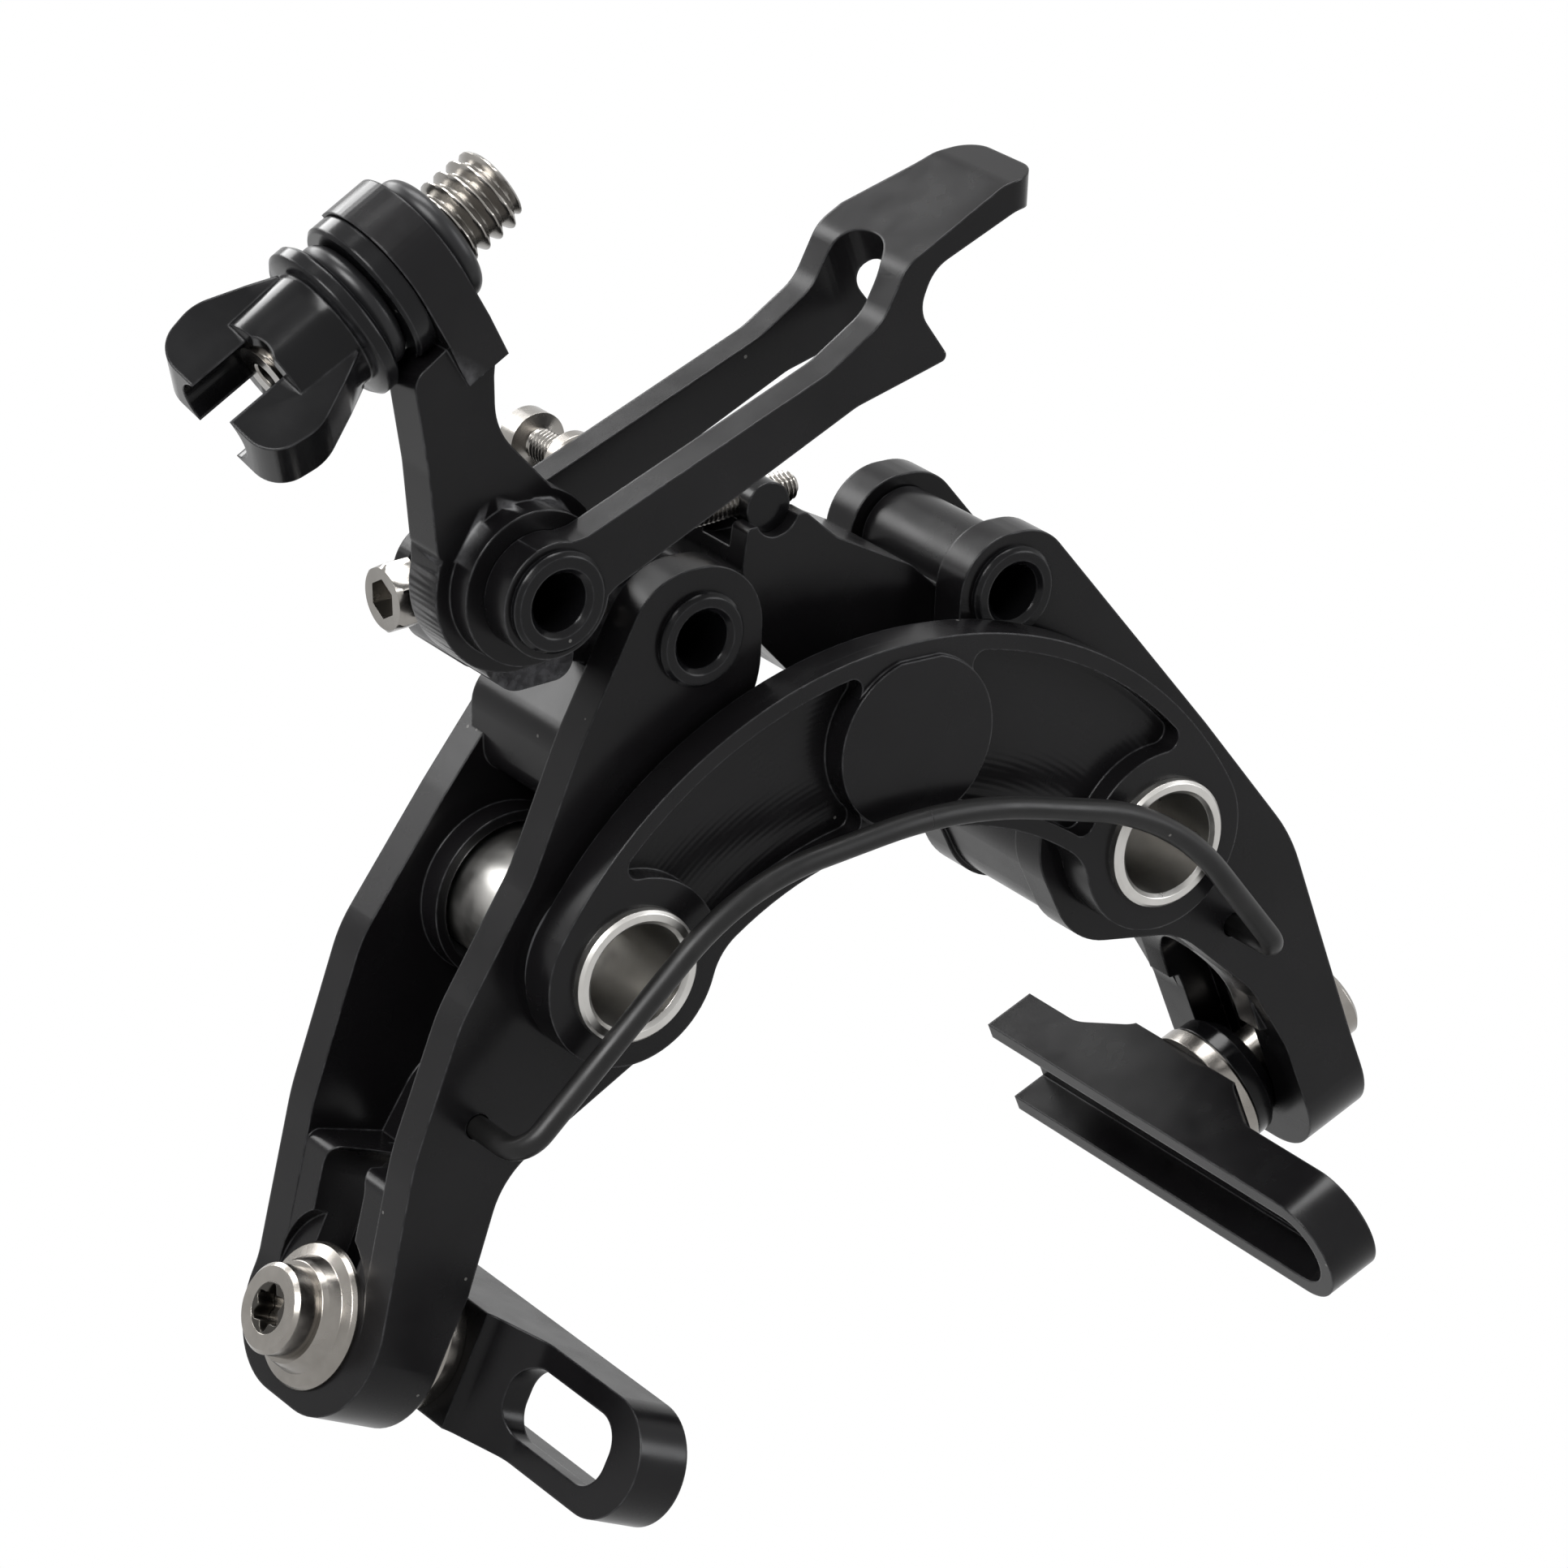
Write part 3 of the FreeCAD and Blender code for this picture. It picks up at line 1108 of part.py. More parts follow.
draw_circle(thread, (0.0, 0.0), barrel_radius + running)
item = feature(knob, "Pocket", "thread", thread, 60.0, False, "")
item.Midplane = True

# Pad bolts with their washers, and the pad holders


def foot_place(x, z, inward, reach):
    """On the pad bolt axis: local X towards the rim, local Z up the slot."""
    centre, along, up = foot_frame(x, z, inward)
    flip = Rotation(Vector(0, 0, 1), 0 if inward > 0 else 180)
    tilt = Rotation(Vector(0, 1, 0), float(foot_tilt) * inward)
    base = centre + along * (float(reach) - float(foot_depth) / 2)
    base.y = float(channel_y) + float(channel_width) / 2
    return Placement(base, tilt.multiply(flip))


stack = foot_depth + dish_height + ring_height
holder_back_wall = holder_seat - holder_depth
holder_floor = holder_back_wall + holder_wall
for side_name, x, z, inward in (("left", left_foot_x, left_foot_z, 1), ("right", right_foot_x, right_foot_z, -1)):
    bolt_top = bell_height + head_height
    bolt_end = stack + holder_floor - 0.3
    turned(side_name + "_pad_bolt", [
        (1.9 - bolt_top, 0.0),
        (1.9 - bolt_top, 2.3),
        (-bolt_top, 2.5),
        (-bolt_top, head_radius - 0.4),
        (0.4 - bolt_top, head_radius),
        (-bell_height, head_radius),
        (-bell_height, shaft_radius),
        (bolt_end - 0.5, shaft_radius),
        (bolt_end, shaft_radius - 0.5),
        (bolt_end, 0.0)], foot_place(x, z, inward, 0))
    turned(side_name + "_bell_washer", [
        (-bell_height, shaft_radius + 0.2),
        (-bell_height, 4.9),
        (-0.8 * bell_height, 5.2),
        (-0.4 * bell_height, 5.7),
        (-0.28 * bell_height, 6.8),
        (-0.12 * bell_height, bell_radius),
        (0.0, bell_radius),
        (0.0, shaft_radius + 0.2)], foot_place(x, z, inward, 0))
    turned(side_name + "_dished_washer", [
        (0.0, shaft_radius + 0.2),
        (0.0, 5.4),
        (0.45 * dish_height, 6.8),
        (dish_height, 6.9),
        (dish_height, shaft_radius + 0.2)], foot_place(x, z, inward, foot_depth))
    turned(side_name + "_ring_washer", [
        (0.0, shaft_radius + 0.2),
        (0.0, 6.9),
        (0.3, 7.1),
        (ring_height, 7.1),
        (ring_height, shaft_radius + 0.2)], foot_place(x, z, inward, foot_depth + dish_height))
    holder = new_body(side_name + "_pad_holder")
    holder.Placement = foot_place(x, z, inward, stack)
    tall = float(holder_height) / 2
    nose = -inward * float(holder_front)
    tail = inward * float(holder_back)
    lip = inward * tall
    side_view = Placement(Vector(0, 0, 0), Rotation(Vector(0, 1, 0), Vector(0, 0, 1), Vector(1, 0, 0), "ZXY"))
    sketch = plane_sketch(holder, "holder_outline", side_view)
    draw_arc(sketch, (nose + lip, -tall), (nose, 0.0), (nose + lip, tall))
    draw_line(sketch, (nose + lip, tall), (tail, tall))
    draw_line(sketch, (tail, tall), (tail, -tall))
    draw_line(sketch, (tail, -tall), (nose + lip, -tall))
    raise_along(holder, "holder_block", sketch, holder_seat)
    back = plane_sketch(holder, "holder_back_outline", Placement(Vector(0, 0, 0), Rotation()))
    step = float(holder_back_wall)
    draw_outline(back, [(-2.0, nose - inward * 2.0, 0), (step, nose - inward * 2.0, 0), (step, -inward * 14.0, 4),
                        (0.0, -inward * 7.6, 3), (-2.0, -inward * 7.6, 0)])
    item = feature(holder, "Pocket", "holder_front_relief", back, 40.0, False, "")
    item.Midplane = True
    back = plane_sketch(holder, "holder_tail_outline", Placement(Vector(0, 0, 0), Rotation()))
    draw_outline(back, [(-2.0, tail + inward * 2.0, 0), (step, tail + inward * 2.0, 0), (step, inward * 14.0, 4),
                        (0.0, inward * 7.6, 3), (-2.0, inward * 7.6, 0)])
    item = feature(holder, "Pocket", "holder_tail_relief", back, 40.0, False, "")
    item.Midplane = True
    floor_view = Placement(Vector(float(holder_floor), 0, 0), side_view.Rotation)
    channel = plane_sketch(holder, "pad_channel_outline", floor_view)
    low = tall - float(holder_wall)
    inner = nose + inward * float(holder_wall)
    draw_arc(channel, (inner + inward * low, -low), (inner, 0.0), (inner + inward * low, low))
    draw_line(channel, (inner + inward * low, low), (tail + inward * 1.0, low))
    draw_line(channel, (tail + inward * 1.0, low), (tail + inward * 1.0, -low))
    draw_line(channel, (tail + inward * 1.0, -low), (inner + inward * low, -low))
    cut_along(holder, "pad_channel", channel, 12.0)
    window = plane_sketch(holder, "holder_window_outline", side_view)
    draw_outline(window, [
        (nose + inward * 4.6, -3.6, 3.0), (nose + inward * 4.6, 3.6, 3.0),
        (nose + inward * 20.0, 3.6, 3.0), (nose + inward * 20.0, -3.6, 3.0)])
    cut_along(holder, "holder_window", window, 12.0)
    thread = plane_sketch(holder, "bolt_thread_outline", side_view)
    draw_circle(thread, (0.0, 0.0), shaft_radius + running)
    cut_along(holder, "bolt_thread", thread, 12.0)

# Return spring: one bent wire in front of the plate, its ends hooked into the arms

wire_y = float(ring_y) - float(wire_radius) - 0.35
hook_y = float(arm_y) + float(arm_plate) - 0.4
wire_route = [
    (Vector(-44.4, hook_y, -14.5), 0),
    (Vector(-44.4, wire_y, -14.5), 3.0),
    (Vector(-21.0, wire_y, 7.6), 26.0),
    (Vector(4.0, wire_y, 10.6), 50.0),
    (Vector(30.0, wire_y, 4.0), 30.0),
    (Vector(45.0, wire_y, -14.0), 3.0),
    (Vector(45.0, hook_y, -14.0), 0)]


def rounded_route(points):
    """Straight runs joined by tangent arcs."""
    edges = []
    last = points[0][0]
    for i in range(1, len(points) - 1):
        here, radius = points[i]
        before = (points[i - 1][0] - here).normalize()
        after = (points[i + 1][0] - here).normalize()
        turn = before.getAngle(after)
        reach = radius / math.tan(turn / 2)
        bisector = (before + after).normalize()
        start, end = here + before * reach, here + after * reach
        middle = here + bisector * (radius / math.sin(turn / 2) - radius)
        edges.append(Part.LineSegment(last, start).toShape())
        edges.append(Part.Arc(start, middle, end).toShape())
        last = end
    edges.append(Part.LineSegment(last, points[-1][0]).toShape())
    return Part.Wire(edges)


route = rounded_route(wire_route)
section = Part.Wire([Part.Circle(wire_route[0][0], Vector(0, 1, 0), float(wire_radius)).toShape()])
spring = doc.addObject("Part::Feature", "return_spring")
spring.Label = "return_spring"
spring.Shape = route.makePipeShell([section], True, True)

# Checks of the document, then one file for each sub-part

doc.recompute()
nodes = bodies + [spring]
for item in doc.Objects:
    if "Invalid" in item.State or "Error" in item.State:
        raise RuntimeError("failed: " + item.Label)
for item in nodes:
    shape = item.Shape
    if shape.isNull() or not shape.isValid() or len(shape.Solids) != 1:
        raise RuntimeError("not one valid solid: %s (%d)" % (item.Label, len(shape.Solids)))
for item in nodes:
    item.Shape.exportStep("parts/" + item.Label + ".step")
print(len(nodes), "pieces")
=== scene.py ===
import json
import math

import bmesh
import bpy
from mathutils import Matrix, Vector


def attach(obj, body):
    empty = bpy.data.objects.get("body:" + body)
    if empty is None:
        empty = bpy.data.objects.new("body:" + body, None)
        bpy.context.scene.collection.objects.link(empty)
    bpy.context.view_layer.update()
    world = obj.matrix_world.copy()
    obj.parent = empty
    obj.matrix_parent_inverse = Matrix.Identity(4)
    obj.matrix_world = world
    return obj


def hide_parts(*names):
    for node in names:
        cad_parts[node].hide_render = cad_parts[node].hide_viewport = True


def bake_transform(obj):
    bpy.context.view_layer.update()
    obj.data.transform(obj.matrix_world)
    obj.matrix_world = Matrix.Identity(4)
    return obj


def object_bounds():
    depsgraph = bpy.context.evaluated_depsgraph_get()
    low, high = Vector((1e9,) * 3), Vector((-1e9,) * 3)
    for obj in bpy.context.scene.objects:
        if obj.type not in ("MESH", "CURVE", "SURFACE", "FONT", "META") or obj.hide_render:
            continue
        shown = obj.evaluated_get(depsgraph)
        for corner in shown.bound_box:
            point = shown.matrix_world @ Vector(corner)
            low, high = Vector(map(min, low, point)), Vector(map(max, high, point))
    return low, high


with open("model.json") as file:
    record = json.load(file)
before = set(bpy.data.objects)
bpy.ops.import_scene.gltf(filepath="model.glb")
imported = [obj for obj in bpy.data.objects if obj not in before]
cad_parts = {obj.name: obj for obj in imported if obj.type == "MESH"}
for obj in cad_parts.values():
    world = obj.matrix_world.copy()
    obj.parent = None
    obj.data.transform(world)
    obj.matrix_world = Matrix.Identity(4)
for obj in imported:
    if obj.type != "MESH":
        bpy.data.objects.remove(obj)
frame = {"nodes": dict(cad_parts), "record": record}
cad_low, cad_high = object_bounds()
nodes = frame["nodes"]
slots = {s["node"]: s["material_slot"] for s in frame["record"]["subparts"]}

MM = 0.001
FORMED_SHARP, TURNED_SHARP = math.radians(28), math.radians(32)

# Places in X and Z and depths in Y, in mm; slopes in degrees
CRANK_PIVOT = (-43.8, 40.9)
SADDLE_PIN = (14.2, 27.6)
TRUNNION = (-10.3, 38.6)
SWIVEL = (-42.2, 36.45)
ANCHOR = (-32.5, 47.0)
BARREL_TOP = (-43.3, 75.7)
PAD_BOLT_DEPTH, SCREW_DEPTH, BARREL_DEPTH = -13.0, -15.0, -21.0
WASHER_DEPTH, ANCHOR_DEPTH = -19.5, -22.5
BARREL_SLOPE, PAD_BOLT_SLOPE, RAIL_SLOPE = 31.5, 24.0, 21.8


def link(name, data):
    obj = bpy.data.objects.new(name, data)
    bpy.context.scene.collection.objects.link(obj)
    return obj


def linked_mesh(mesh, name="form"):
    """An object of a bmesh, which is freed."""
    data = bpy.data.meshes.new(name)
    mesh.to_mesh(data)
    mesh.free()
    return link(name, data)


def shade(obj, sharp=FORMED_SHARP):
    """Smooth faces with a sharp edge wherever two of them meet at more than the angle."""
    for face in obj.data.polygons:
        face.use_smooth = True
    obj.data.set_sharp_from_angle(angle=sharp)


def dress(obj, material):
    obj.data.materials.clear()
    obj.data.materials.append(material)


# Camera: a long lens at the photograph's viewing angle

camera_data = bpy.data.cameras.new("camera")
camera_data.sensor_width = 36.0
camera_data.lens = 149.07
camera_data.clip_start, camera_data.clip_end = 0.05, 20.0
camera = link("camera", camera_data)
camera_right = Vector((0.81812, -0.57347, 0.04266))
camera_up = Vector((0.19243, 0.34291, 0.91945))
camera_back = Vector((-0.54190, -0.74401, 0.39089))
camera_turn = Matrix((camera_right, camera_up, camera_back)).transposed()
camera.matrix_world = Matrix.Translation((-0.3402, -0.4756, 0.2503)) @ camera_turn.to_4x4()
bpy.context.scene.camera = camera

# Materials


class Nodes:
    """A material's node tree with short calls to add and join nodes."""

    def __init__(self, name):
        self.material = bpy.data.materials.new(name)
        self.material.use_nodes = True
        self.tree = self.material.node_tree
        self.tree.nodes.clear()
        self.shader = self.add("ShaderNodeBsdfPrincipled")
        self.join(self.shader, "BSDF", self.add("ShaderNodeOutputMaterial"), "Surface")
        self.place = self.add("ShaderNodeTexCoord")

    def add(self, kind, **values):
        node = self.tree.nodes.new(kind)
        for key, value in values.items():
            setattr(node, key, value)
        return node

    def join(self, source, output, target, socket):
        self.tree.links.new(source.outputs[output], target.inputs[socket])

    def set(self, **values):
        for key, value in values.items():
            self.shader.inputs[key.replace("_", " ")].default_value = value

    def noise(self, scale, detail, rough, stretch=None):
        """Noise over the part's own coordinates; stretch scales the axes."""
        node = self.add("ShaderNodeTexNoise")
        node.inputs["Scale"].default_value = scale
        node.inputs["Detail"].default_value = detail
        node.inputs["Roughness"].default_value = rough
        if stretch:
            mapping = self.add("ShaderNodeMapping")
            mapping.inputs["Scale"].default_value = stretch
            self.join(self.place, "Object", mapping, "Vector")
            self.join(mapping, "Vector", node, "Vector")
        else:
            self.join(self.place, "Object", node, "Vector")
        return node

    def ramp(self, source, output, stops):
        """A colour ramp of (position, colour) stops."""
        node = self.add("ShaderNodeValToRGB")
        for element, (position, colour) in zip(node.color_ramp.elements, stops):
            element.position = position
            element.color = colour + (1.0,)
        self.join(source, output, node, "Fac")
        return node

    def span(self, source, output, low, high, from_low, from_high):
        """Maps from_low..from_high to low..high."""
        node = self.add("ShaderNodeMapRange")
        node.inputs["From Min"].default_value = from_low
        node.inputs["From Max"].default_value = from_high
        node.inputs["To Min"].default_value = low
        node.inputs["To Max"].default_value = high
        self.join(source, output, node, "Value")
        return node

    def mix(self, factor, factor_output, base, base_output, colour):
        """The base with one plain colour over it where the factor is 1."""
        node = self.add("ShaderNodeMix", data_type="RGBA")
        self.join(factor, factor_output, node, 0)
        self.join(base, base_output, node, 6)
        node.inputs[7].default_value = colour + (1.0,)
        return node

    def bump(self, source, output, distance, strength, before):
        node = self.add("ShaderNodeBump")
        node.inputs["Strength"].default_value = strength
        node.inputs["Distance"].default_value = distance
        self.join(source, output, node, "Height")
        self.join(before, "Normal", node, "Normal")
        return node

    def soft_edge(self, radius):
        """Normals rounded over the edges, as a broken edge shows them."""
        node = self.add("ShaderNodeBevel", samples=6)
        node.inputs["Radius"].default_value = radius
        return node

    def edge_mask(self, edge, low, high):
        """Runs from 0 on faces to 1 on rounded edges."""
        surface = self.add("ShaderNodeNewGeometry")
        dot = self.add("ShaderNodeVectorMath", operation="DOT_PRODUCT")
        self.join(edge, "Normal", dot, 0)
        self.join(surface, "True Normal", dot, 1)
        return self.span(dot, "Value", 1.0, 0.0, low, high)

    def compare(self, operation, source, output, limit):
        node = self.add("ShaderNodeMath", operation=operation)
        node.inputs[1].default_value = limit
        self.join(source, output, node, 0)
        return node

    def times(self, one, one_output, two, two_output):
        node = self.add("ShaderNodeMath", operation="MULTIPLY")
        self.join(one, one_output, node, 0)
        self.join(two, two_output, node, 1)
        return node

    def specks(self, scale, share, size):
        """Scattered dust: 1 in a few cells' centres, 0 elsewhere."""
        cells = self.add("ShaderNodeTexVoronoi")
        cells.inputs["Scale"].default_value = scale
        self.join(self.place, "Object", cells, "Vector")
        near = self.compare("LESS_THAN", cells, "Distance", size)
        chosen = self.add("ShaderNodeSeparateColor")
        self.join(cells, "Color", chosen, "Color")
        few = self.compare("GREATER_THAN", chosen, "Red", 1.0 - share)
        return self.times(near, "Value", few, "Value")

    def cutter_rings(self, centre_z, floor_y):
        """Fine rings about a point on the faces that lie behind a depth, 0 elsewhere."""
        split = self.add("ShaderNodeSeparateXYZ")
        self.join(self.place, "Object", split, "Vector")
        deep = self.compare("GREATER_THAN", split, "Y", floor_y)
        rings = self.add("ShaderNodeTexWave", wave_type="RINGS", rings_direction="Y",
                         wave_profile="SIN")
        rings.inputs["Scale"].default_value = 480.0
        rings.inputs["Distortion"].default_value = 0.4
        offset = self.add("ShaderNodeMapping")
        offset.inputs["Location"].default_value = (0.0, 0.0, centre_z)
        self.join(self.place, "Object", offset, "Vector")
        self.join(offset, "Vector", rings, "Vector")
        return self.times(rings, "Fac", deep, "Value")


def anodised(name, tones, rough, dust=0.03, floor_marks=False):
    """Black anodised aluminium: grain, cloudy sheen, a pale painted highlight along the edges and a
    little dust.
    """
    dark, light = tones
    # The first colour is a pale painted highlight for the edges, the second is dust.
    edge_highlight_colour, dust_colour = (0.055, 0.055, 0.058), (0.045, 0.044, 0.042)
    m = Nodes(name)
    m.set(Metallic=0.0, Specular_IOR_Level=0.145)
    cloud = m.noise(scale=55.0, detail=4.0, rough=0.55)
    colour = m.ramp(cloud, "Fac", [(0.3, dark), (0.75, light)])
    # Pale colour on the rounded edges, broken up by a fine noise: painted highlight where the
    # chamfers catch the light.
    soft = m.soft_edge(radius=0.0003)
    painted_edge_highlight = m.edge_mask(soft, 0.86, 0.995)
    highlight_breakup = m.noise(scale=900.0, detail=2.0, rough=0.6)
    edge_highlight_part = m.times(painted_edge_highlight, "Result", m.span(highlight_breakup, "Fac", 0.1, 0.55, 0.35, 0.75), "Result")
    colour = m.mix(edge_highlight_part, "Value", colour, "Color", edge_highlight_colour)
    dusty = m.specks(scale=420.0, share=dust, size=0.075)
    colour = m.mix(dusty, "Value", colour, "Result", dust_colour)
    grain = m.noise(scale=3800.0, detail=3.0, rough=0.65)
    sheen = m.noise(scale=160.0, detail=3.0, rough=0.6)
    normal = m.bump(grain, "Fac", 0.000006, 0.55, soft)
    if floor_marks:
        rings = m.cutter_rings(centre_z=0.0183, floor_y=-0.0275)
        normal = m.bump(rings, "Value", 0.00001, 0.8, normal)
    m.join(colour, "Result", m.shader, "Base Color")
    m.join(m.span(sheen, "Fac", *rough, 0.3, 0.7), "Result", m.shader, "Roughness")
    m.join(normal, "Normal", m.shader, "Normal")
    return m.material


def bright_metal(name, tones, rough, stretch=(1.0, 1.0, 1.0), edge=0.00012):
    """Turned or polished metal: fine tool lines across the stretch, mottled tone."""
    dark, light = tones
    m = Nodes(name)
    m.set(Metallic=1.0)
    cloud = m.noise(scale=130.0, detail=4.0, rough=0.6)
    colour = m.ramp(cloud, "Fac", [(0.3, dark), (0.7, light)])
    soft = m.soft_edge(edge)
    lines = m.noise(scale=2600.0, detail=3.0, rough=0.6, stretch=stretch)
    smear = m.noise(scale=300.0, detail=3.0, rough=0.6)
    m.join(colour, "Color", m.shader, "Base Color")
    m.join(m.span(smear, "Fac", *rough, 0.3, 0.7), "Result", m.shader, "Roughness")
    m.join(m.bump(lines, "Fac", 0.000004, 0.6, soft), "Normal", m.shader, "Normal")
    return m.material


def soft_black(name, tones, rough, level, grain_scale, grain_depth):
    """Rubber, plastic or coated wire: a fine grain and a faint bloom."""
    dark, light = tones
    dust_colour = (0.05, 0.048, 0.046)
    m = Nodes(name)
    m.set(Metallic=0.0, Specular_IOR_Level=level)
    cloud = m.noise(scale=210.0, detail=4.0, rough=0.6)
    colour = m.ramp(cloud, "Fac", [(0.3, dark), (0.75, light)])
    dusty = m.specks(scale=520.0, share=0.03, size=0.08)
    colour = m.mix(dusty, "Value", colour, "Color", dust_colour)
    grain = m.noise(scale=grain_scale, detail=3.0, rough=0.6)
    sheen = m.noise(scale=330.0, detail=2.0, rough=0.5)
    normal = m.bump(grain, "Fac", grain_depth, 0.6, m.soft_edge(radius=0.00015))
    m.join(colour, "Result", m.shader, "Base Color")
    m.join(m.span(sheen, "Fac", *rough, 0.3, 0.7), "Result", m.shader, "Roughness")
    m.join(normal, "Normal", m.shader, "Normal")
    return m.material


BODY_TONES = ((0.0018, 0.0017, 0.0019), (0.0036, 0.0034, 0.0037))
PIN_TONES = ((0.0016, 0.0016, 0.0018), (0.003, 0.003, 0.0033))
KNOB_TONES = ((0.0016, 0.0016, 0.0018), (0.0032, 0.0032, 0.0035))
BARE_TONES = ((0.42, 0.41, 0.39), (0.55, 0.54, 0.52))
STEEL_TONES = ((0.2, 0.188, 0.172), (0.3, 0.283, 0.262))
THREAD_TONES = ((0.2, 0.19, 0.177), (0.3, 0.287, 0.268))
# Steel darkened to about a fifth for the socket linings: painted shade in the recesses.
SOCKET_SHADE_TONES = ((0.03, 0.028, 0.025), (0.06, 0.056, 0.05))
RUBBER_TONES = ((0.004, 0.004, 0.0045), (0.008, 0.008, 0.0085))
WIRE_TONES = ((0.003, 0.003, 0.003), (0.006, 0.0058, 0.0058))
BUSH_TONES = ((0.02, 0.02, 0.021), (0.032, 0.032, 0.034))

black_plate = anodised("black_anodised_plate", BODY_TONES, (0.2, 0.3), floor_marks=True)
thread_steel = bright_metal("thread_steel", THREAD_TONES, (0.2, 0.3), edge=0.00005)
# Darkened steel for the socket linings: painted shade inside the sockets.
socket_steel_painted_shade = bright_metal("socket_steel_painted_shade", SOCKET_SHADE_TONES, (0.25, 0.4))
looks = {
    "black_anodised": anodised("black_anodised", BODY_TONES, (0.2, 0.3)),
    "black_pin": anodised("black_pin", PIN_TONES, (0.12, 0.2), dust=0.015),
    "black_knob": anodised("black_knob", KNOB_TONES, (0.14, 0.22), dust=0.02),
    "bare_aluminium": bright_metal("bare_aluminium", BARE_TONES, (0.26, 0.38), (0.2, 1.0, 0.2)),
    "steel": bright_metal("steel", STEEL_TONES, (0.17, 0.3)),
    "rubber_ring": soft_black("rubber", RUBBER_TONES, (0.3, 0.42), 0.2, 2600.0, 0.000006),
    "black_spring": soft_black("black_wire", WIRE_TONES, (0.34, 0.46), 0.18, 3200.0, 0.000008),
    "bush_plastic": soft_black("bush_plastic", BUSH_TONES, (0.4, 0.52), 0.4, 2400.0, 0.000008),
}

for name, obj in nodes.items():
    dress(obj, black_plate if name == "bridge_plate" else looks[slots[name]])

# Turned pieces whose radius may change round the axis: threads, sockets and hexagons


def turned(name, body, material, place, rows, segments, closed=False):
    """Rows are (distance along local X, radius or function of the angle), in mm."""
    mesh = bmesh.new()
    rings = []
    for along, radius in rows:
        ring = []
        for i in range(segments):
            angle = 2 * math.pi * i / segments
            r = radius(angle) if callable(radius) else radius
            ring.append(mesh.verts.new(place @ Vector(
                (along * MM, r * math.cos(angle) * MM, r * math.sin(angle) * MM))))
        rings.append(ring)
    count = len(rings)
    for k in range(count if closed else count - 1):
        one, two = rings[k], rings[(k + 1) % count]
        for i in range(segments):
            j = (i + 1) % segments
            mesh.faces.new((one[i], one[j], two[j], two[i]))
    if not closed:
        mesh.faces.new(rings[0])
        mesh.faces.new(rings[-1])
    bmesh.ops.recalc_face_normals(mesh, faces=mesh.faces)
    obj = linked_mesh(mesh, name)
    dress(obj, material)
    shade(obj, TURNED_SHARP)
    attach(obj, body)
    return obj


def thread_rows(start, end, major, pitch, steps=8, lead=0.3):
    """Rows of a right-hand V thread, fading over the lead at both ends."""
    depth = 0.56 * pitch
    root_flat, flank, fade_drop = 0.08, 0.8, 0.25
    count = max(2, int(abs(end - start) / pitch * steps))
    rows = []
    for k in range(count + 1):
        x = start + (end - start) * k / count
        fade = min(1.0, min(abs(x - start), abs(end - x)) / lead)

        def radius(angle, x=x, fade=fade):
            turn_part = (x / pitch - angle / (2 * math.pi)) % 1.0
            wave = 1.0 - abs(2.0 * turn_part - 1.0)
            wave = min(1.0, max(0.0, (wave - root_flat) / flank))
            return major - depth * (1.0 - wave) - fade_drop * (1.0 - fade)
        rows.append((x, radius))
    return rows


def tilted(place, depth, degrees):
    """Matrix with local X raised by an angle in the frame's X-Z plane."""
    return (Matrix.Translation((place[0] * MM, depth * MM, place[1] * MM))
            @ Matrix.Rotation(-math.radians(degrees), 4, "Y"))


def inward(place, depth):
    """Matrix with local X along the frame's Y."""
    return (Matrix.Translation((place[0] * MM, depth * MM, place[1] * MM))
            @ Matrix.Rotation(math.radians(90), 4, "Z"))


def six_lobes(mean):
    """Radius of a six-lobe socket."""
    swing, shift = 0.36, 0.35
    return lambda angle: mean + swing * math.cos(6 * (angle - shift))


def hexagon(apothem, limit):
    """Radius of a hexagon that a chamfer's circle trims."""
    def radius(angle):
        part = (angle + math.pi / 6) % (math.pi / 3) - math.pi / 6
        return min(limit, apothem / math.cos(part))
    return radius


# Barrel adjuster with its thread, hollow for the cable
rows = [(0.0, 2.2), (0.0, 3.4)]
rows += list(reversed(thread_rows(-26.6, -0.2, 4.0, 1.5, steps=10, lead=0.6)))
rows += [(-27.0, 3.3), (-27.0, 1.5), (-26.8, 1.3), (-1.2, 1.3)]
barrel = turned("barrel_thread", "barrel", thread_steel,
                tilted(BARREL_TOP, BARREL_DEPTH, BARREL_SLOPE), rows, 96, closed=True)
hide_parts("adjuster_barrel")

# Adjusting screw: hexagon head with a socket, threaded shank
SWIVEL_RADIUS, SWIVEL_WALL, HEAD_GAP = 3.0, 1.55, 0.35
head = -(SWIVEL_RADIUS + SWIVEL_WALL + HEAD_GAP)
screw_run, screw_rise = TRUNNION[0] - SWIVEL[0], TRUNNION[1] - SWIVEL[1]
screw_slope = math.degrees(math.atan2(screw_rise, screw_run))
screw_length = math.hypot(screw_run, screw_rise)
rows = [(head - 1.2, 0.05), (head - 1.2, hexagon(1.7, 1.95)), (head - 3.2, hexagon(1.7, 1.95)),
        (head - 3.2, 2.95), (head - 2.75, hexagon(3.0, 3.4)), (head - 0.4, hexagon(3.0, 3.4)),
        (head, 2.9), (head, 1.35)]
rows += thread_rows(head + 0.2, screw_length + 4.7, 1.5, 0.5)
rows += [(screw_length + 5.0, 0.9), (screw_length + 5.0, 0.05)]
screw = turned("adjusting_screw_thread", "screw", thread_steel,
               tilted(SWIVEL, SCREW_DEPTH, screw_slope), rows, 60)
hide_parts("adjusting_screw")

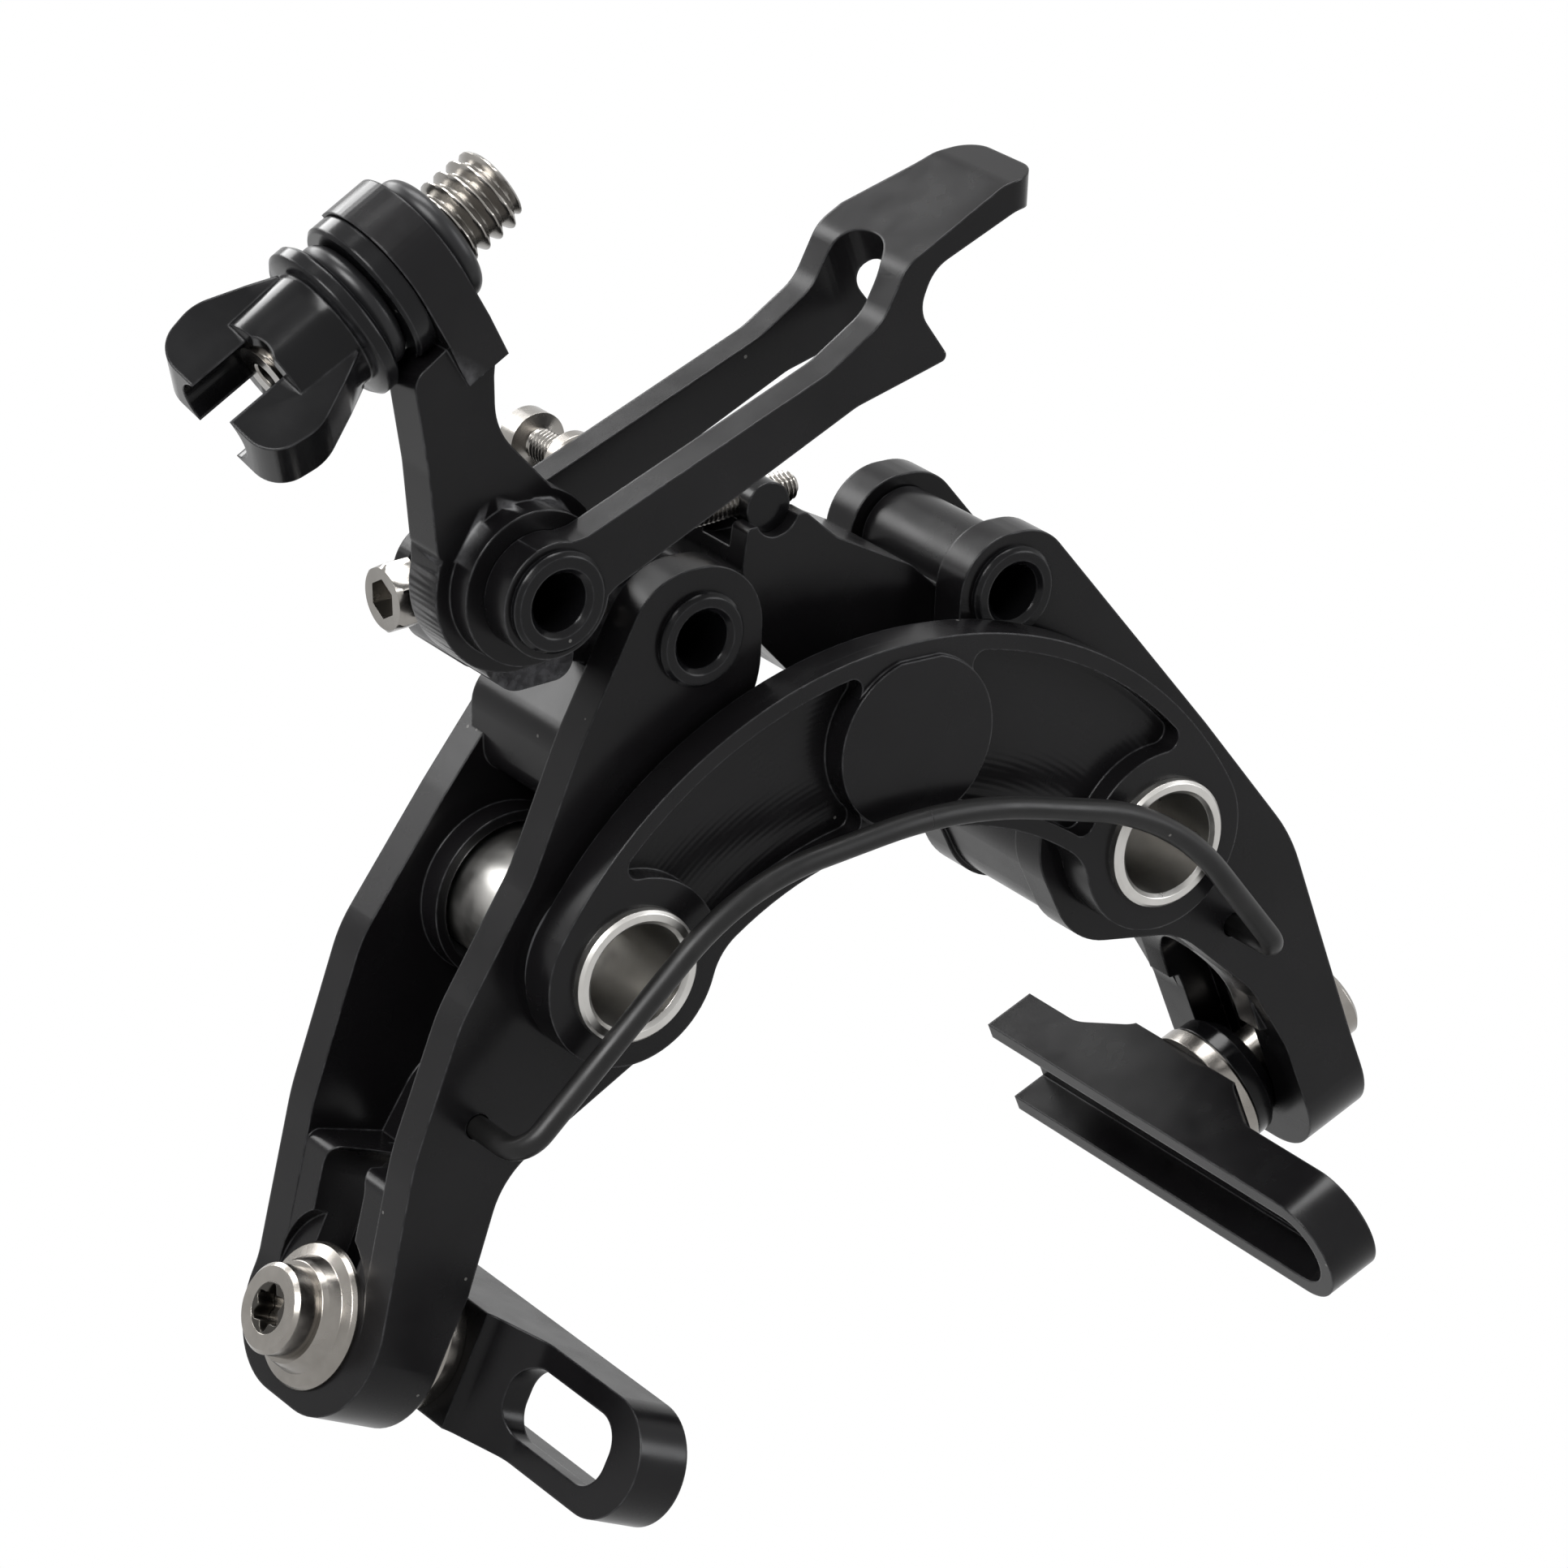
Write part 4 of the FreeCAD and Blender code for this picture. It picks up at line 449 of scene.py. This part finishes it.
# Anchor bolt: thin thread behind the lever and a round head with a hexagon socket
rows = [(1.5, 0.05), (1.5, 1.2)] + thread_rows(1.8, 9.3, 1.65, 0.5)
rows += [(9.5, 1.5), (9.8, 2.9), (12.0, 2.9), (12.3, 2.5), (12.3, hexagon(1.3, 1.5)),
         (11.0, hexagon(1.3, 1.5)), (11.0, 0.05)]
anchor = turned("anchor_bolt_thread", "lever", thread_steel,
                inward(ANCHOR, ANCHOR_DEPTH), rows, 60)
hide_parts("anchor_bolt")
rows = [(0.0, 1.7), (0.0, 2.7), (0.2, 2.9), (1.5, 2.9), (1.5, 1.7)]
washer = turned("anchor_washer_small", "lever",
                looks[slots["anchor_washer"]], inward(ANCHOR, WASHER_DEPTH), rows, 48, closed=True)
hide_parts("anchor_washer")

# Six-lobe sockets in the pad bolt heads, each a lining of the round recess, in a far darker steel
# that is painted shade in the recess
SOCKET_TOP, SOCKET_DEPTH, HEAD_OFFSET = -5.4, 1.85, 3.8
for side, x, z, towards in (("left", -51.7, -37.85, 1), ("right", 60.0, -35.4, -1)):
    slope = math.radians(PAD_BOLT_SLOPE)
    axis = Vector((towards * math.cos(slope), 0.0, -math.sin(slope)))
    centre = Vector((x, 0.0, z)) - axis * HEAD_OFFSET
    place = (Matrix.Translation((centre.x * MM, PAD_BOLT_DEPTH * MM, centre.z * MM))
             @ Matrix.Rotation(slope * towards, 4, "Y")
             @ Matrix.Rotation(0.0 if towards > 0 else math.pi, 4, "Z"))
    rows = [(SOCKET_TOP, 2.48), (SOCKET_TOP, six_lobes(2.0)), (SOCKET_TOP + 0.15, six_lobes(1.9)),
            (SOCKET_TOP + SOCKET_DEPTH, six_lobes(1.86)), (SOCKET_TOP + SOCKET_DEPTH, 2.28)]
    turned(side + "_socket", side + "_pad_bolt", socket_steel_painted_shade, place, rows, 144,
           closed=True)

# Formed pieces: outlines with rounded corners raised to solids, joined and cut


def rounded(corners, steps=10):
    """Points of an outline given as (across, up, corner radius)."""
    points = []
    for i, (across, up, radius) in enumerate(corners):
        corner = Vector((across, up))
        if radius <= 0.0:
            points.append(corner)
            continue
        before = Vector(corners[i - 1][:2]) - corner
        after = Vector(corners[(i + 1) % len(corners)][:2]) - corner
        half = before.angle(after) / 2
        reach = min(radius / math.tan(half), 0.49 * before.length, 0.49 * after.length)
        radius = reach * math.tan(half)
        bisector = (before.normalized() + after.normalized()).normalized()
        centre = corner + bisector * (radius / math.sin(half))
        first = before.normalized() * reach + corner - centre
        last = after.normalized() * reach + corner - centre
        start = math.atan2(first.y, first.x)
        sweep = (math.atan2(last.y, last.x) - start + math.pi) % (2 * math.pi) - math.pi
        for k in range(steps + 1):
            angle = start + sweep * k / steps
            points.append(centre + Vector((math.cos(angle), math.sin(angle))) * radius)
    return points


def circle(centre, radius, count=64):
    return [Vector((centre[0] + radius * math.cos(2 * math.pi * k / count),
                    centre[1] + radius * math.sin(2 * math.pi * k / count)))
            for k in range(count)]


def rectangle(left, low, right, high):
    return [Vector(corner) for corner in ((left, low), (right, low), (right, high), (left, high))]


def frame_of(origin, across, up, out):
    """Matrix from an outline's axes, in mm, to the part's frame."""
    turn = Matrix((across, up, out)).transposed().to_4x4()
    return Matrix.Translation(Vector(origin) * MM) @ turn @ Matrix.Scale(MM, 4)


FRONT = frame_of((0, 0, 0), (1, 0, 0), (0, 0, 1), (0, 1, 0))


def prism(points, low, high, place=FRONT):
    """A solid between two depths over an outline."""
    mesh = bmesh.new()
    ends = [[mesh.verts.new(place @ Vector((p.x, p.y, depth))) for p in points]
            for depth in (low, high)]
    for i in range(len(points)):
        j = (i + 1) % len(points)
        mesh.faces.new((ends[0][i], ends[0][j], ends[1][j], ends[1][i]))
    for ring in ends:
        mesh.faces.new(ring)
    bmesh.ops.recalc_face_normals(mesh, faces=mesh.faces)
    return linked_mesh(mesh)


def copy_of(node):
    """A closed copy of a CAD node's mesh to build on."""
    mesh = bmesh.new()
    mesh.from_mesh(nodes[node].data)
    bmesh.ops.remove_doubles(mesh, verts=mesh.verts, dist=0.000002)
    return linked_mesh(mesh)


def combine(base, steps):
    """Joins and cuts in order; each step is (operation, solid)."""
    for operation, solid in steps:
        change = base.modifiers.new("combine", "BOOLEAN")
        change.operation = operation
        change.solver = "EXACT"
        change.object = solid
        bpy.context.view_layer.update()
        evaluated = base.evaluated_get(bpy.context.evaluated_depsgraph_get())
        data = bpy.data.meshes.new_from_object(evaluated)
        base.modifiers.clear()
        base.data = data
        bpy.data.objects.remove(solid)
    return base


def formed(obj, name, body, node):
    """Finishes a formed piece, which then stands for a CAD node."""
    obj.name = name
    dress(obj, looks[slots[node]])
    shade(obj)
    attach(obj, body)
    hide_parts(node)


# Saddle link: a deep block with an eye, a cradle for the trunnion and a way for the screw
depths = [vertex.co.y / MM for vertex in nodes["saddle_link"].data.vertices]
near, far = min(depths), max(depths)
block = rounded([
    (12.6, 26.6, 0), (8.6, 27.6, 1.5), (5.6, 30.4, 3), (-3.4, 34.9, 3), (-7.0, 38.0, 0.6),
    (-13.6, 37.4, 0.6), (-14.0, 33.6, 2.0), (-12.2, 26.4, 6), (-7.0, 21.0, 4), (5.4, 20.6, 3),
    (9.4, 23.2, 1.5), (12.6, 24.6, 0)])
screw_way = rounded([
    (-18.0, 36.0, 0), (-12.6, 34.8, 0.5), (-1.0, 34.8, 0.5), (-1.0, 44.0, 0), (-18.0, 44.0, 0)])
saddle = combine(prism(block, near, far), [
    ("UNION", prism(circle(SADDLE_PIN, 4.7), near, far)),
    ("DIFFERENCE", prism(circle(TRUNNION, 2.45), near - 1.0, far + 1.0)),
    ("DIFFERENCE", prism(screw_way, -17.2, -12.8)),
    ("DIFFERENCE", prism(circle(SADDLE_PIN, 3.85), near - 1.0, far + 1.0))])
formed(saddle, "saddle_block", "saddle", "saddle_link")

# Stop arm: waisted plate, and a stem that ends at the plate's edge
PLATE_FRONT, PLATE_BACK, HOOK_REACH = -27.5, -23.0, 9.1
slope = math.radians(BARREL_SLOPE)
hook_centre = (BARREL_TOP[0] - HOOK_REACH * math.cos(slope), BARREL_DEPTH,
               BARREL_TOP[1] - HOOK_REACH * math.sin(slope))
hook = frame_of(hook_centre, (0, 1, 0), (-math.sin(slope), 0, math.cos(slope)),
                (math.cos(slope), 0, math.sin(slope)))
waisted = rounded([
    (-49.0, 66.0, 0.3), (-55.4, 61.4, 2.0), (-53.6, 52.5, 12), (-52.4, 43.5, 6), (-49.0, 44.0, 0),
    (-37.5, 44.5, 0), (-40.6, 49.0, 8), (-46.8, 55.5, 7), (-47.1, 60.5, 5), (-46.9, 64.1, 0.3)])
stem_side = rounded([
    (9.0, -3.5, 0), (5.8, -3.5, 0), (1.5, -6.6, 6), (-2.0, -10.2, 0), (-2.0, -13.4, 0),
    (9.0, -13.4, 0)])
plate = combine(prism(waisted, PLATE_FRONT, PLATE_BACK), [
    ("UNION", prism(circle(CRANK_PIVOT, 8.8, 96), PLATE_FRONT, PLATE_BACK)),
    ("DIFFERENCE", prism(circle(CRANK_PIVOT, 4.3), PLATE_FRONT - 1.0, PLATE_BACK + 1.0))])
stop = combine(copy_of("stop_arm"), [
    ("DIFFERENCE", prism(rectangle(-9, -13.4, 9, -9.8), -4.9, 0.3, hook)),
    ("DIFFERENCE", prism(stem_side, -4.9, 0.3, hook)),
    ("DIFFERENCE", prism(rectangle(-60.0, 48.35, -34.0, 58.0), -28.2, -22.2)),
    ("UNION", plate)])
formed(stop, "stop_arm_waisted", "crank", "stop_arm")

# Lever: an opening that runs on through the bend, and a paddle that narrows to a round tip
slope = math.radians(RAIL_SLOPE)
along_rail = frame_of((CRANK_PIVOT[0], 0, CRANK_PIVOT[1]), (math.cos(slope), 0, math.sin(slope)),
                      (0, 1, 0), (-math.sin(slope), 0, math.cos(slope)))
level = frame_of((0, 0, 80.0), (1, 0, 0), (0, 1, 0), (0, 0, 1))
opening = rounded([(34.0, -30.2, 0), (34.0, -22.5, 0), (45.0, -22.5, 3.7), (45.0, -30.2, 3.7)])
round_paddle = rounded([
    (-4.6, -19.5, 0), (2.5, -22.4, 12), (7.4, -23.2, 5.0), (7.4, -33.5, 5.1), (1.6, -33.5, 0),
    (1.6, -36.5, 0), (16.0, -36.5, 0), (16.0, -16.5, 0), (-4.6, -16.5, 0)])
lever = combine(copy_of("quick_release_lever"), [
    ("DIFFERENCE", prism(opening, -30.0, 30.0, along_rail)),
    ("UNION", prism(circle(ANCHOR, 2.0, 48), -22.5, -21.1)),
    ("DIFFERENCE", prism(round_paddle, -16.0, 0.0, level))])
formed(lever, "lever_shaped", "lever", "quick_release_lever")

# Return spring: cut at the middle into a left and a right half, each closed over the cut
spring_x = [vertex.co.x for vertex in nodes["return_spring"].data.vertices]
for side, outward, end in (("left", -1, min(spring_x)), ("right", 1, max(spring_x))):
    half_spring = copy_of("return_spring")
    mesh = bmesh.new()
    mesh.from_mesh(half_spring.data)
    cut = bmesh.ops.bisect_plane(mesh, geom=mesh.verts[:] + mesh.edges[:] + mesh.faces[:],
                                 dist=0.0000001, plane_co=(0, 0, 0), plane_no=(outward, 0, 0),
                                 clear_inner=True)["geom_cut"]
    cut_edges = [item for item in cut if isinstance(item, bmesh.types.BMEdge)]
    bmesh.ops.holes_fill(mesh, edges=cut_edges)
    mesh.to_mesh(half_spring.data)
    mesh.free()
    half_spring.name = side + "_spring_half"
    dress(half_spring, looks["black_spring"])
    shade(half_spring)
    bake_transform(half_spring)
    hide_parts("return_spring")

# Knob: its wings' edges rounded
knob = copy_of("adjuster_knob")
round_over = knob.modifiers.new("round_over", "BEVEL")
round_over.width = 0.0007
round_over.segments = 4
round_over.limit_method = "ANGLE"
round_over.angle_limit = math.radians(50)
formed(knob, "knob_rounded", "knob", "adjuster_knob")

for obj in nodes.values():
    shade(obj)

# Floor and light

FLOOR_GAP, FLOOR_REACH = 0.0005, 6
level_z = cad_low.z - FLOOR_GAP
floor_mesh = bpy.data.meshes.new("floor")
floor_mesh.from_pydata([(-FLOOR_REACH, -FLOOR_REACH, level_z), (FLOOR_REACH, -FLOOR_REACH, level_z),
                        (FLOOR_REACH, FLOOR_REACH, level_z), (-FLOOR_REACH, FLOOR_REACH, level_z)],
                       [], [(0, 1, 2, 3)])
floor = link("floor", floor_mesh)


def white_for_the_eye(tree, plain, white, output):
    """White to camera, transmission and glossy rays, and the plain surface to all others."""
    rays = tree.nodes.new("ShaderNodeLightPath")
    seen = rays.outputs["Is Camera Ray"]
    for kind in ("Is Transmission Ray", "Is Glossy Ray"):
        either = tree.nodes.new("ShaderNodeMath")
        either.operation = "MAXIMUM"
        tree.links.new(seen, either.inputs[0])
        tree.links.new(rays.outputs[kind], either.inputs[1])
        seen = either.outputs[0]
    mixer = tree.nodes.new("ShaderNodeMixShader")
    tree.links.new(seen, mixer.inputs[0])
    tree.links.new(plain, mixer.inputs[1])
    tree.links.new(white, mixer.inputs[2])
    tree.links.new(mixer.outputs[0], output)


def background(tree, colour):
    node = tree.nodes.new("ShaderNodeBackground")
    node.inputs["Color"].default_value = colour + (1.0,)
    node.inputs["Strength"].default_value = 1.0
    return node.outputs[0]


world = bpy.data.worlds.new("studio")
bpy.context.scene.world = world
world.use_nodes = True
tree = world.node_tree
tree.nodes.clear()
output = tree.nodes.new("ShaderNodeOutputWorld")
white_for_the_eye(tree, background(tree, (0.32, 0.32, 0.325)), background(tree, (1.0, 1.0, 1.0)),
                  output.inputs["Surface"])

floor_white = bpy.data.materials.new("floor_white")
floor_white.use_nodes = True
tree = floor_white.node_tree
tree.nodes.clear()
diffuse = tree.nodes.new("ShaderNodeBsdfDiffuse")
grain = tree.nodes.new("ShaderNodeTexNoise")
grain.inputs["Scale"].default_value = 3.0
tone = tree.nodes.new("ShaderNodeValToRGB")
tone.color_ramp.elements[0].color = (0.86, 0.86, 0.86, 1.0)
tone.color_ramp.elements[1].color = (0.9, 0.9, 0.9, 1.0)
tree.links.new(grain.outputs["Fac"], tone.inputs["Fac"])
tree.links.new(tone.outputs["Color"], diffuse.inputs["Color"])
glow = tree.nodes.new("ShaderNodeEmission")
glow.inputs["Strength"].default_value = 1.0
output = tree.nodes.new("ShaderNodeOutputMaterial")
white_for_the_eye(tree, diffuse.outputs[0], glow.outputs[0], output.inputs["Surface"])
floor_mesh.materials.append(floor_white)


def softbox(name, spot, target, width, height, power, colour=(1.0, 1.0, 1.0)):
    data = bpy.data.lights.new(name, "AREA")
    data.shape = "RECTANGLE"
    data.size, data.size_y = width, height
    data.energy = power
    data.color = colour
    lamp = link(name, data)
    lamp.location = spot
    lamp.rotation_mode = "QUATERNION"
    lamp.rotation_quaternion = (Vector(target) - Vector(spot)).to_track_quat("-Z", "Y")


softbox("key", (-0.75, -0.35, 0.85), (0, -0.02, 0.01), 0.7, 0.5, 26.0)
softbox("fill", (0.85, -0.75, 0.45), (0, -0.02, 0.01), 0.5, 0.7, 9.0, (0.97, 0.98, 1.0))
softbox("top", (0.15, 0.25, 1.1), (0, -0.02, 0.02), 0.8, 0.6, 21.0)
softbox("rim", (-0.2, 0.95, 0.5), (0, -0.02, 0.02), 0.9, 0.4, 12.0)

bpy.context.scene.view_settings.view_transform = "Standard"
